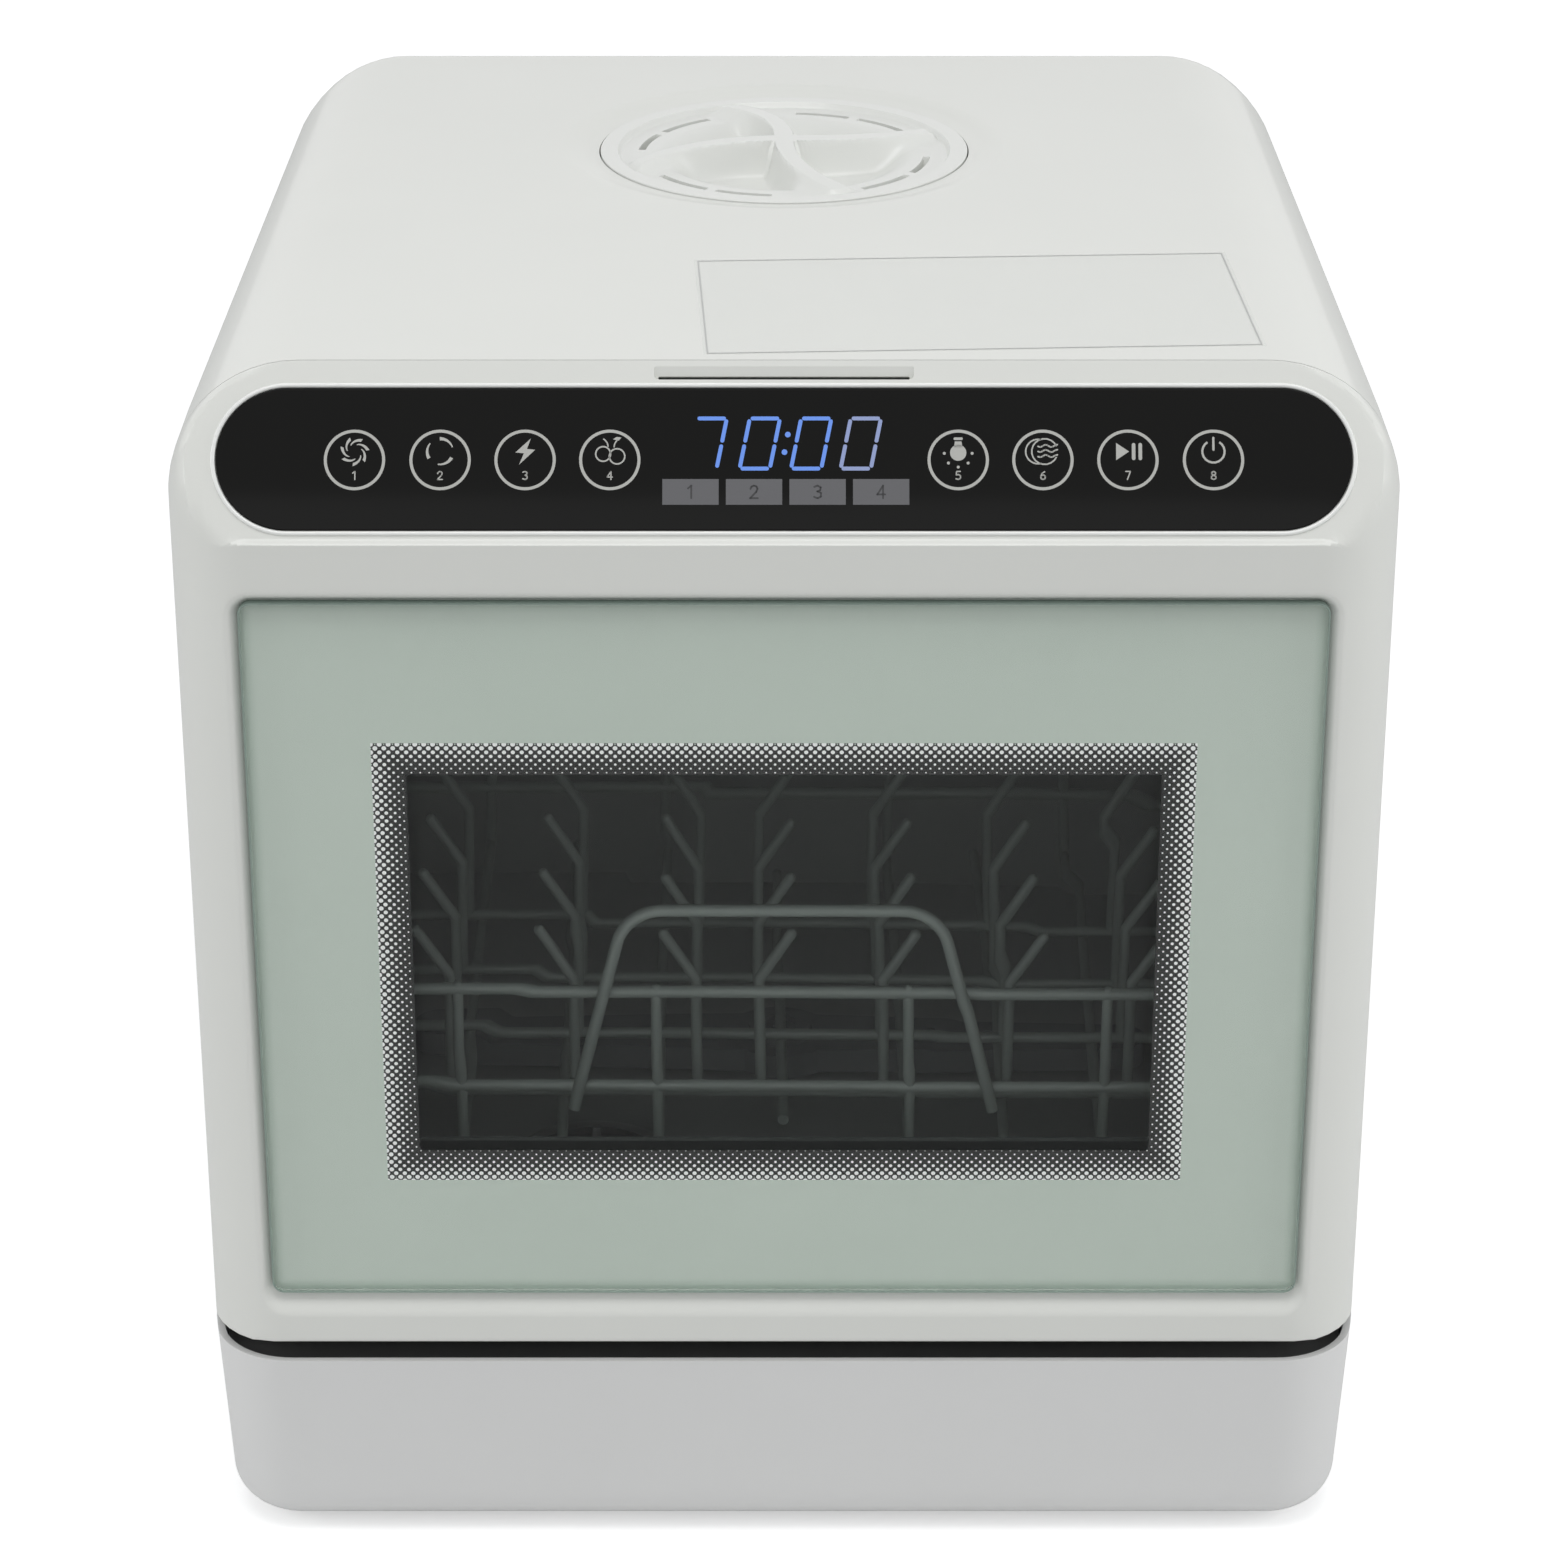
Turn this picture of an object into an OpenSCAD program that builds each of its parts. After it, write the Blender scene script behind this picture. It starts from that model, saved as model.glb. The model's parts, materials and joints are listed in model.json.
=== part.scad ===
// Countertop dishwasher with a drop-down glass door, a sliding wire rack
// and a built-in water tank that is filled through a round lid in the top.
// Millimetres. X runs to the right, Y to the back and Z up. Depths are
// measured back from the door's front face and heights from the table.

/* [Body] */
// Width over the side walls
body_w = 412; // [408:1:424]
// Height of the top cover above the table
body_h = 442; // [438:1:456]
// Depth from the door's front face to the back wall
body_d = 430; // [428:1:450]
// Wall thickness of the moulded covers
cover_t = 2.5; // [2:0.1:2.8]
// Radius where the side walls turn into the top
top_r = 45; // [38:1:50]
// Radius of the upright back corners
rear_r = 40; // [30:1:45]
// Radius of the upright front corners
front_r = 30; // [26:1:32]
// Radius along the back edge of the top
back_edge_r = 22; // [16:1:28]
// Depth of the seam between the door and the casing
seam_y = 33; // [33:0.5:34]
// Width of that seam
seam_gap = 0.6; // [0.5:0.1:0.8]

/* [Base] */
// Height of the base's front edge
base_top = 76; // [75.5:0.1:76.2]
// How much narrower the base is at the bottom, on each side
base_taper = 6; // [3:0.5:8]
// Radius along the bottom edge of the base
base_edge_r = 16; // [10:1:18]
// Height of the dark gap between base and door
toe_gap = 7; // [6.8:0.1:7.5]
// Diameter of a rubber foot
foot_d = 26; // [20:1:32]
// How far a foot stands below the base
foot_h = 3; // [2.5:0.5:4]

/* [Door] */
// Depth of the hinge line behind the door's front face
hinge_y = 12; // [11.5:0.1:12.5]
// Height of the hinge line above the door's bottom edge
hinge_rise = 7.5; // [7.2:0.1:7.8]
// Diameter of a hinge pin
hinge_pin_d = 5; // [4:0.5:6]
// Distance of a hinge arm from the side of the body
hinge_inset = 28; // [27:0.5:30]
// Wall thickness of the door's front moulding
door_t = 3; // [2.6:0.1:3.2]
// Width of the door on each side of the front glass
glass_side = 24.5; // [23:0.5:30]
// Height of the door between the front glass and the sloping panel
glass_head = 21.5; // [18:0.5:26]
// Thickness of the front glass
glass_t = 3.2; // [3:0.1:3.4]
// Height of the front glass above the door's bottom edge
glass_rise = 20.5; // [20:0.5:22]
// Depth of the recess that holds the front glass
glass_recess = 5; // [4.6:0.1:5.2]
// Width of the door wall behind each side of the glass
window_side = 35.5; // [34:0.5:42]
// Height of the door wall behind the top and the foot of the glass
window_head = 42; // [40:0.5:50]

/* [Control panel] */
// Depth of the sloping panel from front to back
panel_run = 31; // [29:0.5:31.5]
// Height of the sloping panel
panel_rise = 53; // [50:0.5:55]
// Width of the panel beside each end of the black touch window
pill_side = 18; // [17:1:26]
// Height of the black touch window
pill_h = 47.5; // [44:0.5:48]
// Thickness of the touch window
pill_t = 2; // [1.6:0.1:2.4]
// Spacing of the touch keys
key_pitch = 28; // [26:0.5:29]
// Distance of the inner touch key from the middle
key_first = 58; // [56:0.5:60]
// Width of the slot in the door's top edge
pull_w = 85; // [70:1:100]

/* [Filling lid] */
// Diameter of the lid
lid_d = 140; // [134:1:142]
// Distance from the lid's middle to the back wall
lid_inset = 145; // [143:1:150]
// Depth of the dish in the lid
lid_dish = 12; // [10:0.5:13]
// Number of arms of the turning grip
lid_arms = 4; // [3:1:5]
// How far the grip's middle stands above the rim
lid_hub_rise = 4; // [2:0.5:5]

/* [Wash chamber] */
// Space between the chamber and each side of the body
side_space = 27; // [26:0.5:30]
// Height of the chamber's floor
tub_floor = 96; // [95.5:0.5:97]
// Height of the space over the chamber
top_space = 76; // [74:1:80]
// Depth of the space behind the chamber that holds the tank
tank_space = 84.4; // [82:0.2:92]
// Wall thickness of the chamber
tub_t = 1.6; // [1.2:0.1:1.8]
// Depth of the chamber's front flange
flange_y = 40; // [39.8:0.1:40.5]
// How far the chamber's mouth is smaller than the chamber, all round
mouth_lip = 6; // [5:0.5:8]

/* [Rack] */
// Diameter of the rack's frame wires
rim_wire = 4.5; // [4:0.1:5]
// Diameter of the rack's tines
tine_wire = 4; // [3.5:0.1:4.5]
// Gap between the rack's side wires and the chamber
rack_side_gap = 16; // [14:0.5:20]
// Gap between the rack's back wires and the chamber
rack_back_gap = 25.6; // [22:0.2:32]
// Depth of the rack's front wires behind the door's front face
rack_y = 80; // [79:0.5:82]
// Height of the rack's floor wires above the chamber floor
rack_lift = 26.3; // [26:0.1:27]
// Height of the girdle wire above the floor wires
girdle_rise = 24.2; // [22:0.2:28]
// Height of the rim wire above the floor wires
rim_rise = 61.7; // [56:0.2:66]
// Number of rows of tines
tine_rows = 4; // [3:1:4]
// Distance between two rows of tines
row_pitch = 45; // [42:0.5:46]
// Gap between the last tine's tip and the rack's side
tine_end_gap = 23.1; // [18:0.1:30]
// Height at which a tine bends, above the floor wires
tine_bend_rise = 49; // [45:0.5:52]
// Height of a tine's tip above its bend
tine_tip_rise = 18; // [14:0.5:22]
// Sideways reach of a tine's tip
tine_lean = 12; // [8:0.5:14]
// Height of the handle above the floor wires
handle_rise = 96; // [90:1:100]
// Half the length of the handle's straight top
handle_flat = 43; // [36:1:48]
// Radius of the handle's bends
handle_bend = 17; // [12:1:20]
// Angle by which the handle's legs spread
handle_lean = 14; // [8:1:18]

/* [Spray arm and filter] */
// Gap between the spray arm's tips and the chamber's front and back walls
arm_end_gap = 12; // [10:1:22]
// Width of the spray arm
arm_w = 30; // [26:1:34]
// Diameter of the filter basket
filter_d = 60; // [54:1:64]

/* [Fits] */
// Clearance all round a turning pin
pin_gap = 0.05; // [0.03:0.01:0.08]
// Clearance between bodies that move past each other
run_gap = 0.5; // [0.4:0.1:0.6]
// Clearance round a lid or a plate that drops into an opening
drop_gap = 0.4; // [0.3:0.1:0.6]

/* [Hidden] */
$fn = 48;
spout_reach = 22;
front_y = -(body_d + spout_reach) / 2;
half_w = body_w / 2;
far = 3 * body_d;

door_bottom = base_top + toe_gap;
hinge_z = door_bottom + hinge_rise;
panel_top_y = panel_run + 1.5;
panel_foot_y = panel_top_y - panel_run;
panel_foot_z = body_h - panel_rise;
panel_len = sqrt(panel_run * panel_run + panel_rise * panel_rise);
panel_lean = atan2(panel_run, panel_rise);
casing_y = seam_y + seam_gap;
glass_z = door_bottom + glass_rise;
glass_w = body_w - 2 * glass_side;
glass_h = panel_foot_z - glass_head - glass_z;
window_w = glass_w - 2 * window_side;
window_h = glass_h - 2 * window_head;
pill_w = body_w - 2 * pill_side;
hinge_x = half_w - hinge_inset;
liner_face = flange_y - 4;
liner_t = 3;
liner_dish = 5;
liner_foot = hinge_z + 1.5;

tub_y = flange_y + tub_t;
tub_back = body_d - tank_space;
tub_w = body_w - 2 * side_space;
tub_h = body_h - top_space - tub_floor;
tub_d = tub_back - tub_y;
mouth_w = tub_w - 2 * mouth_lip;
mouth_h = tub_h - 2 * mouth_lip;
mouth_z = tub_floor + mouth_lip;
floor_wire_z = tub_floor + rack_lift;
rim_z = floor_wire_z + rim_rise;
girdle_z = floor_wire_z + girdle_rise;
spin_y = tub_y + tub_d / 2;
lid_y = body_d - lid_inset;
lid_top = body_h - 1.5;
rack_w = tub_w - 2 * rack_side_gap;
rack_d = tub_back - rack_back_gap - rack_y;
arm_len = min(tub_w, tub_d) - 2 * arm_end_gap;

// ---- shared shapes --------------------------------------------------

// Puts a piece drawn in door-front depths into the part's own frame
module placed() {
    translate([0, front_y, 0]) children();
}

// Repeats a piece mirrored on the left side
module both_sides() {
    children();
    mirror([1, 0, 0]) children();
}

// A box between two corners
module block(from, to) {
    translate(from) cube(to - from);
}

// Turns an outline drawn across X and Z into a prism between two depths
module prism_y(y0, y1) {
    translate([0, y1, 0]) rotate([90, 0, 0]) linear_extrude(y1 - y0) children();
}

// Turns an outline drawn across Y and Z into a prism between two sides
module prism_x(x0, x1) {
    translate([x0, 0, 0]) rotate([90, 0, 90]) linear_extrude(x1 - x0) children();
}

// A round bar between two depths
module rod_y(x, z, y0, y1, d) {
    translate([x, y0, z]) rotate([-90, 0, 0]) cylinder(h = y1 - y0, d = d);
}

// A round bar between two sides
module rod_x(y, z, x0, x1, d) {
    translate([x0, y, z]) rotate([0, 90, 0]) cylinder(h = x1 - x0, d = d);
}

// A rectangle whose corners are quarter circles
module round_rect(w, h, r) {
    square([w - 2 * r, h], center = true);
    square([w, h - 2 * r], center = true);
    for (x = [-1, 1], y = [-1, 1]) translate([x * (w / 2 - r), y * (h / 2 - r)]) circle(r);
}

// A rectangular frame between two rounded rectangles
module round_frame(w, h, r, band) {
    difference() {
        round_rect(w, h, r);
        round_rect(w - 2 * band, h - 2 * band, max(r - band, 0.5));
    }
}

// Outline of the body seen from the front, drawn in by an inset
module front_outline(inset, foot) {
    r = top_r - inset;
    w = half_w - inset;
    h = body_h - inset;
    translate([-w, foot]) square([2 * w, h - r - foot]);
    translate([r - w, foot]) square([2 * (w - r), h - foot]);
    for (x = [-1, 1]) translate([x * (w - r), h - r]) circle(r);
}

// Outline of the body seen from above, drawn in by an inset
module plan_outline(inset) {
    w = half_w - inset;
    rf = front_r - inset;
    rb = rear_r - inset;
    y1 = body_d - inset;
    translate([-w, front_r]) square([2 * w, body_d - rear_r - front_r]);
    translate([rf - w, inset]) square([2 * (w - rf), front_r]);
    translate([rb - w, body_d - rear_r - 1]) square([2 * (w - rb), rb + 1]);
    for (x = [-1, 1]) {
        translate([x * (w - rf), front_r]) circle(rf);
        translate([x * (w - rb), body_d - rear_r]) circle(rb);
    }
}

// Outline of the body seen from the side, drawn in by an inset
module side_outline(inset, foot) {
    slope_in = inset / cos(panel_lean);
    r = back_edge_r - inset;
    top = body_h - inset;
    back = body_d - inset;
    lean = panel_run / panel_rise;
    knee_z = panel_foot_z - (panel_foot_y + slope_in - inset) / lean;
    top_y = panel_foot_y + slope_in + (top - panel_foot_z) * lean;
    polygon([[inset, foot], [back, foot], [back, top - r], [back - r, top], [top_y, top], [inset, knee_z]]);
    translate([back - r, top - r]) circle(r);
}

// The body's outer form, or the same form drawn in by an inset
module envelope(inset, foot) {
    intersection() {
        prism_y(-1, body_d + 1) front_outline(inset, foot);
        translate([0, 0, foot - 1]) linear_extrude(body_h) plan_outline(inset);
        prism_x(-half_w - 1, half_w + 1) side_outline(inset, foot);
    }
}

// Places a piece on the sloping panel: X across, Y up the slope, Z out of it
module on_panel() {
    translate([0, panel_foot_y, panel_foot_z]) rotate([90 - panel_lean, 0, 0]) children();
}
panel_mid = panel_len * 0.462;

module pill_outline(grow) {
    w = pill_w + 2 * grow;
    h = pill_h + 2 * grow;
    square([w - h, h], center = true);
    for (x = [-1, 1]) translate([x * (w - h) / 2, 0]) circle(h / 2);
}

// ---- casing ---------------------------------------------------------

rear_side = 54;
rear_head = 37;
rear_w = body_w - 2 * rear_side;
rear_foot = door_bottom + 13;
rear_h = body_h - rear_head - rear_foot;
rear_lip = 7;
louvre_rows = 7;
louvre_pitch = 9;
louvre_len = 80;
lid_boss_r = lid_d / 2 + 16;
lid_boss_z = body_h - 5.5;
screw_x = rear_w / 2 + rear_lip / 2;
screw_levels = [rear_foot + 30, rear_foot + rear_h / 2, rear_foot + rear_h - 30];
screw_d = 3;
spout_d = 16;
spout_in = 14;
gland_side = 81;
gland_x = half_w - gland_side;
gland_bore = 7.2;
gland_d = 16;
gland_brim = 4.5;
// Half the square hole for the gland's round shank; the brim covers the hole's corners
gland_seat = gland_d / 2 + 0.2;

module outer_casing() {
    color("gainsboro") placed() difference() {
        union() {
            difference() {
                envelope(0, door_bottom);
                envelope(cover_t, door_bottom - 1);
                prism_y(-1, body_d / 2) front_outline(cover_t, door_bottom - 1);
            }
            translate([0, lid_y, lid_boss_z]) cylinder(h = body_h - cover_t - lid_boss_z + 0.5, r = lid_boss_r);
        }
        block([-far, -far, 0], [far, casing_y, far]);
        block([-rear_w / 2, body_d - 9, rear_foot], [rear_w / 2, body_d + 1, rear_foot + rear_h]);
        translate([0, lid_y, lid_boss_z - 1]) cylinder(h = 12, r = lid_d / 2 + drop_gap);
        translate([0, lid_y, lid_top]) cylinder(h = body_h - lid_top + 0.01, r1 = lid_d / 2 + 4, r2 = lid_d / 2 + 14);
        for (x = [-screw_x, screw_x], z = screw_levels) rod_y(x, z, body_d - 9, body_d + 1, screw_d + 0.2);
    }
}

// Slots that let warm air out of one half of the rear panel
module louvre_field(x0) {
    z0 = rear_foot + rear_h - louvre_rows * louvre_pitch - 22;
    for (i = [0 : louvre_rows - 1]) block([x0, body_d - 6, z0 + i * louvre_pitch],
        [x0 + louvre_len, body_d + 1, z0 + i * louvre_pitch + 3.4]);
}

module rear_panel() {
    w = rear_w / 2 - drop_gap;
    color("gainsboro") placed() difference() {
        union() {
            block([-w, body_d - cover_t - 0.1, rear_foot + drop_gap], [w, body_d, rear_foot + rear_h - drop_gap]);
            block([-rear_w / 2 - rear_lip, body_d - cover_t - 2, rear_foot - rear_lip],
                [rear_w / 2 + rear_lip, body_d - cover_t, rear_foot + rear_h + rear_lip]);
        }
        louvre_field(rear_w / 2 - louvre_len - 12);
        louvre_field(12 - rear_w / 2);
        for (x = [-screw_x, screw_x], z = screw_levels) rod_y(x, z, body_d - 9, body_d + 1, screw_d + 0.2);
    }
}

module cover_screws() {
    color("silver") placed() for (x = [-screw_x, screw_x], z = screw_levels) {
        rod_y(x, z, body_d - cover_t - 8, body_d + 0.4, screw_d);
        rod_y(x, z, body_d, body_d + 1.6, 2.2 * screw_d);
    }
}

// ---- base -----------------------------------------------------------

foot_in = 56;
foot_x = half_w - foot_in;
post_d = 16;
post_spots = [for (x = [-foot_x, foot_x], y = [70, tub_back - 26]) [x, y]];
pad_half = 16;

// The base's form, drawn in by an inset; its lower edge is rounded
module base_form(inset, z0, z1) {
    r = base_edge_r;
    hull() {
        translate([0, 0, z1 - 0.01]) linear_extrude(0.01) plan_outline(inset);
        for (a = [0 : 15 : 90]) translate([0, 0, z0 + r * (1 - sin(a))])
            linear_extrude(0.01) plan_outline(inset + base_taper + r * (1 - cos(a)));
    }
}

// The skirt stops short of the middle; a rebate in its lip carries the bottom plate
plate_in = base_taper + base_edge_r + 3.5;
plate_lip = 3;
plate_step = cover_t / 2;

module base_skirt() {
    under = foot_h + cover_t;
    color("lightgray") placed() difference() {
        union() {
            difference() {
                base_form(0, foot_h, door_bottom);
                base_form(cover_t, under, door_bottom + 1);
            }
            block([spout_x - pad_half, body_d - 8, drain_out_z - pad_half],
                [filter_x + pad_half, body_d, drain_out_z + pad_half]);
            block([gland_x - pad_half, body_d - 8, drain_out_z - pad_half],
                [gland_x + pad_half, body_d, drain_out_z + pad_half]);
        }
        prism_x(-far, far) polygon([[-1, base_top], [20, base_top], [casing_y + 0.6, door_bottom],
            [casing_y + 0.6, far], [-1, far]]);
        translate([0, 0, foot_h - 1]) linear_extrude(cover_t + 2) plan_outline(plate_in);
        translate([0, 0, foot_h + plate_step]) linear_extrude(cover_t) plan_outline(plate_in - plate_lip);
        for (x = [spout_x, filter_x]) rod_y(x, drain_out_z, body_d - 12, body_d + 1, spout_d + 0.4);
        block([gland_x - gland_seat, body_d - 12, drain_out_z - gland_seat],
            [gland_x + gland_seat, body_d + 1, drain_out_z + gland_seat]);
    }
}

// The plate that closes the base from below and carries the tub and the tank on posts
module base_plate() {
    under = foot_h + cover_t;
    color("gainsboro") placed() difference() {
        union() {
            translate([0, 0, foot_h]) linear_extrude(cover_t) plan_outline(plate_in + drop_gap);
            translate([0, 0, foot_h + plate_step]) linear_extrude(cover_t - plate_step)
                plan_outline(plate_in - plate_lip + drop_gap);
            for (p = post_spots) translate([p[0], p[1], under - 0.5])
                cylinder(h = tub_floor - tub_t - under + 0.5, d = post_d);
            for (x = [10 - tank_w / 2, 0, tank_w / 2 - 10])
                block([x - 9, stub_y - 7, under - 0.5], [x + 9, stub_y + 8, tank_foot]);
        }
        for (i = [-3.5 : 1 : 3.5]) block([16 * i - 3, tub_back - 46, foot_h - 1], [16 * i + 3, tub_back + 14, under + 1]);
    }
}

module feet() {
    color("dimgray") placed() for (x = [-foot_x, foot_x], y = [foot_in, body_d - foot_in]) translate([x, y, 0]) {
        rotate_extrude() polygon([[0, 0], [foot_d / 2 - 1, 0], [foot_d / 2, 1], [foot_d / 2, foot_h], [0, foot_h]]);
    }
}

module sill_tray() {
    z = base_top - 6;
    top = hinge_z - eye_d / 2 - 0.5;
    color("black") placed() intersection() {
        translate([0, 0, z]) linear_extrude(hinge_z - z) plan_outline(cover_t + 1.6);
        prism_x(-far, far) polygon([[4, z], [flange_y, z], [flange_y, top], [flange_y - 1.6, top],
            [flange_y - 1.6, z + 1.6], [4, z + 1.6]]);
    }
}

// ---- wash chamber ---------------------------------------------------

filter_x = -70;
filter_y = 115;
mouth_mid = mouth_z + mouth_h / 2;
tub_mid = tub_floor + tub_h / 2;
tub_corner = 18;
lamp_y = 95;
lamp_d = 30;
fan_x = tub_w / 2 - 39;
fan_y = 120;
duct_x = fan_x - 56;
duct_y = fan_y;
latch_z = body_h - 26;
latch_w = 16;
switch_x = 60;
switch_z = latch_z - 4;

module at_mouth() {
    translate([0, mouth_mid]) children();
}

module wash_tub() {
    color("darkgray") placed() difference() {
        union() {
            prism_y(flange_y, tub_y) front_outline(cover_t + 0.3, door_bottom + 1);
            prism_y(flange_y, tub_back + tub_t) translate([0, tub_mid]) round_rect(tub_w + 2 * tub_t, tub_h + 2 * tub_t, tub_corner + tub_t);
        }
        prism_y(tub_y, tub_back) translate([0, tub_mid]) round_rect(tub_w, tub_h, tub_corner);
        prism_y(flange_y - 1, tub_y + 1) at_mouth() round_rect(mouth_w, mouth_h, 14);
        translate([filter_x, filter_y, tub_floor - 3]) cylinder(h = 6, d = filter_d + 6);
        translate([0, spin_y, tub_floor - 3]) cylinder(h = 6, d = 14);
        translate([0, lamp_y, tub_floor + tub_h - 1]) cylinder(h = 6, d = lamp_d + 0.6);
        translate([duct_x, duct_y, tub_floor + tub_h - 1]) cylinder(h = 6, d = 24);
        block([-latch_w / 2 - 3, flange_y - 1, latch_z - 8], [latch_w / 2 + 3, tub_y + 1, latch_z + 9]);
        rod_y(switch_x, switch_z, flange_y - 1, tub_y + 1, 6);
    }
}

module door_gasket() {
    color("dimgray") placed() prism_y(liner_face + 0.4, flange_y) at_mouth() round_frame(mouth_w + 16, mouth_h + 16, 22, 7);
}

rail_top = floor_wire_z - tine_wire / 2 - 0.3;

module rack_rail() {
    x1 = tub_w / 2;
    block([x1 - 27, tub_y + 10, rail_top - 2], [x1, tub_back - 12, rail_top]);
    block([x1 - 2, tub_y + 10, rail_top - 6], [x1, tub_back - 12, rail_top + 14]);
}

module rack_rail_right() {
    color("silver") placed() rack_rail();
}

module rack_rail_left() {
    color("silver") placed() mirror([1, 0, 0]) rack_rail();
}

module chamber_lamp() {
    top = tub_floor + tub_h;
    color("lightyellow") placed() translate([0, lamp_y, top - 1.5]) {
        cylinder(h = tub_t + 3.5, d = lamp_d);
        translate([0, 0, tub_t + 1.5]) cylinder(h = 5, d = lamp_d + 8);
    }
}

// ---- door -----------------------------------------------------------

arm_t = 2.5;
bracket_t = 3;
eye_d = 13;
bracket_x = hinge_x + arm_t + run_gap;
notch_x = bracket_x + bracket_t + 13;
arm_top = hinge_z + 60;
dish_w = mouth_w - 2;
dish_h = mouth_h + 4;
dish_mid = mouth_mid + 1;
board_w = pill_w - 52;
bevel_side = 3.4;
bevel_foot = 7.5;
wall_back = glass_recess + door_t;
glass_mid = glass_z + glass_h / 2;

// The tapered recess in front of the glass; its lower lip is the widest
module glass_pocket() {
    w = glass_w + 2 * drop_gap;
    h = glass_h + 2 * drop_gap;
    prism_y(-1, glass_recess) translate([0, glass_mid]) round_rect(w, h, 4.4);
    hull() {
        prism_y(-0.5, -0.4) translate([0, glass_mid - (bevel_foot - bevel_side) / 2])
            round_rect(w + 2 * bevel_side, h + bevel_side + bevel_foot, 7);
        prism_y(glass_recess - 0.1, glass_recess) translate([0, glass_mid]) round_rect(w, h, 4.4);
    }
}

module door_front() {
    lip = 5;
    boss_w = glass_w / 2 + 8;
    color("gainsboro") placed() difference() {
        union() {
            difference() {
                envelope(0, door_bottom);
                intersection() {
                    envelope(door_t, door_bottom + door_t);
                    block([-far, -1, 0], [far, seam_y - door_t, far]);
                }
                prism_y(seam_y - door_t - 1, far) front_outline(door_t + lip, door_bottom - 1);
            }
            block([-boss_w, door_t - 1, glass_z - 8], [boss_w, wall_back, glass_z + glass_h + 6]);
            on_panel() for (x = [6 - board_w / 2, board_w / 2 - 6], y = [-12, 12]) translate([x, panel_mid + y, -8.4]) cylinder(h = 6, d = 6);
        }
        block([-far, seam_y, 0], [far, far, far]);
        glass_pocket();
        prism_y(-1, wall_back + 1) translate([0, glass_mid]) round_rect(window_w, window_h, 12);
        on_panel() translate([0, panel_mid, -pill_t]) linear_extrude(pill_t + 3) pill_outline(drop_gap / 2);
        on_panel() translate([12 - board_w / 2, panel_mid - 14, -door_t - 2]) cube([board_w - 24, 28, 8]);
        on_panel() translate([-pull_w / 2, panel_len - 4.4, -door_t - 3]) cube([pull_w, 2.6, 12]);
        both_sides() {
            block([hinge_x - 0.3, door_t + 0.5, door_bottom - 1], [bracket_x + bracket_t + 1, seam_y + 1, door_bottom + 6]);
            rod_x(hinge_y, hinge_z, hinge_x - 0.3, bracket_x + bracket_t + 1, eye_d + 1);
        }
        block([-half_w + door_t + lip, 22, door_bottom - 1], [half_w - door_t - lip, seam_y + 1, liner_foot - 3]);
        prism_x(-far, far) polygon([[seam_y - 3, door_bottom - 1], [seam_y + 1, door_bottom - 1],
            [seam_y + 1, door_bottom + 9], [seam_y, door_bottom + 9]]);
    }
}

module front_glass() {
    color("darkseagreen", 0.6) placed() prism_y(glass_recess - glass_t, glass_recess)
        translate([0, glass_mid]) round_rect(glass_w, glass_h, 4);
}

module door_liner() {
    color("darkgray") placed() difference() {
        union() {
            prism_y(seam_y, liner_face) front_outline(cover_t + 2, liner_foot);
            prism_y(liner_face - liner_dish - liner_t, seam_y + 1) translate([0, dish_mid]) round_rect(dish_w + 6, dish_h - 4, 17);
        }
        prism_y(liner_face - liner_dish, liner_face + 1) translate([0, dish_mid]) round_rect(dish_w, dish_h - 10, 14);
        prism_y(0, flange_y) translate([0, glass_mid]) round_rect(window_w - 12, window_h - 12, 10);
        both_sides() block([hinge_x - 1.5, 0, 0], [notch_x + 2, flange_y, hinge_z + eye_d / 2 + 3]);
    }
}

module inner_glass() {
    y = liner_face - liner_dish - liner_t;
    color("slategray", 0.5) placed() prism_y(y - 3, y) translate([0, glass_mid]) round_rect(window_w + 8, window_h + 8, 6);
}

module touch_window() {
    color([0.07, 0.07, 0.07]) placed() on_panel() translate([0, panel_mid, -pill_t]) linear_extrude(pill_t) pill_outline(0);
}

module display_module() {
    color("midnightblue") placed() on_panel() translate([-42, panel_mid - 12, -8.4]) cube([84, 24, 8.4 - pill_t - 0.3]);
}

module control_board() {
    color("darkgreen") placed() on_panel() {
        translate([-board_w / 2, panel_mid - 20, -10]) cube([board_w, 34, 1.6]);
        for (i = [0 : 3], s = [-1, 1]) translate([s * (key_first + i * key_pitch), panel_mid, -8.5])
            cylinder(h = 8.5 - pill_t - 0.3, d = 14);
    }
}

module hinge_arm() {
    difference() {
        prism_x(hinge_x, hinge_x + arm_t) {
            translate([hinge_y, hinge_z]) circle(d = eye_d);
            polygon([[wall_back, hinge_z], [hinge_y + eye_d / 2, hinge_z], [seam_y, hinge_z + 14],
                [seam_y, arm_top], [wall_back, arm_top]]);
        }
        rod_x(hinge_y, hinge_z, hinge_x - 1, hinge_x + arm_t + 1, hinge_pin_d + 2 * pin_gap);
    }
}

module hinge_arm_right() {
    color("silver") placed() hinge_arm();
}

module hinge_arm_left() {
    color("silver") placed() mirror([1, 0, 0]) hinge_arm();
}

module hinge_bracket() {
    prism_x(bracket_x, bracket_x + bracket_t) {
        translate([hinge_y, hinge_z]) circle(d = eye_d);
        translate([hinge_y, hinge_z - eye_d / 2]) square([flange_y - hinge_y, eye_d]);
    }
    block([bracket_x, flange_y - 2, hinge_z - eye_d / 2], [bracket_x + bracket_t + 12, flange_y, hinge_z + eye_d / 2]);
    rod_x(hinge_y, hinge_z, hinge_x - 1.5, bracket_x + 1, hinge_pin_d);
}

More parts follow.
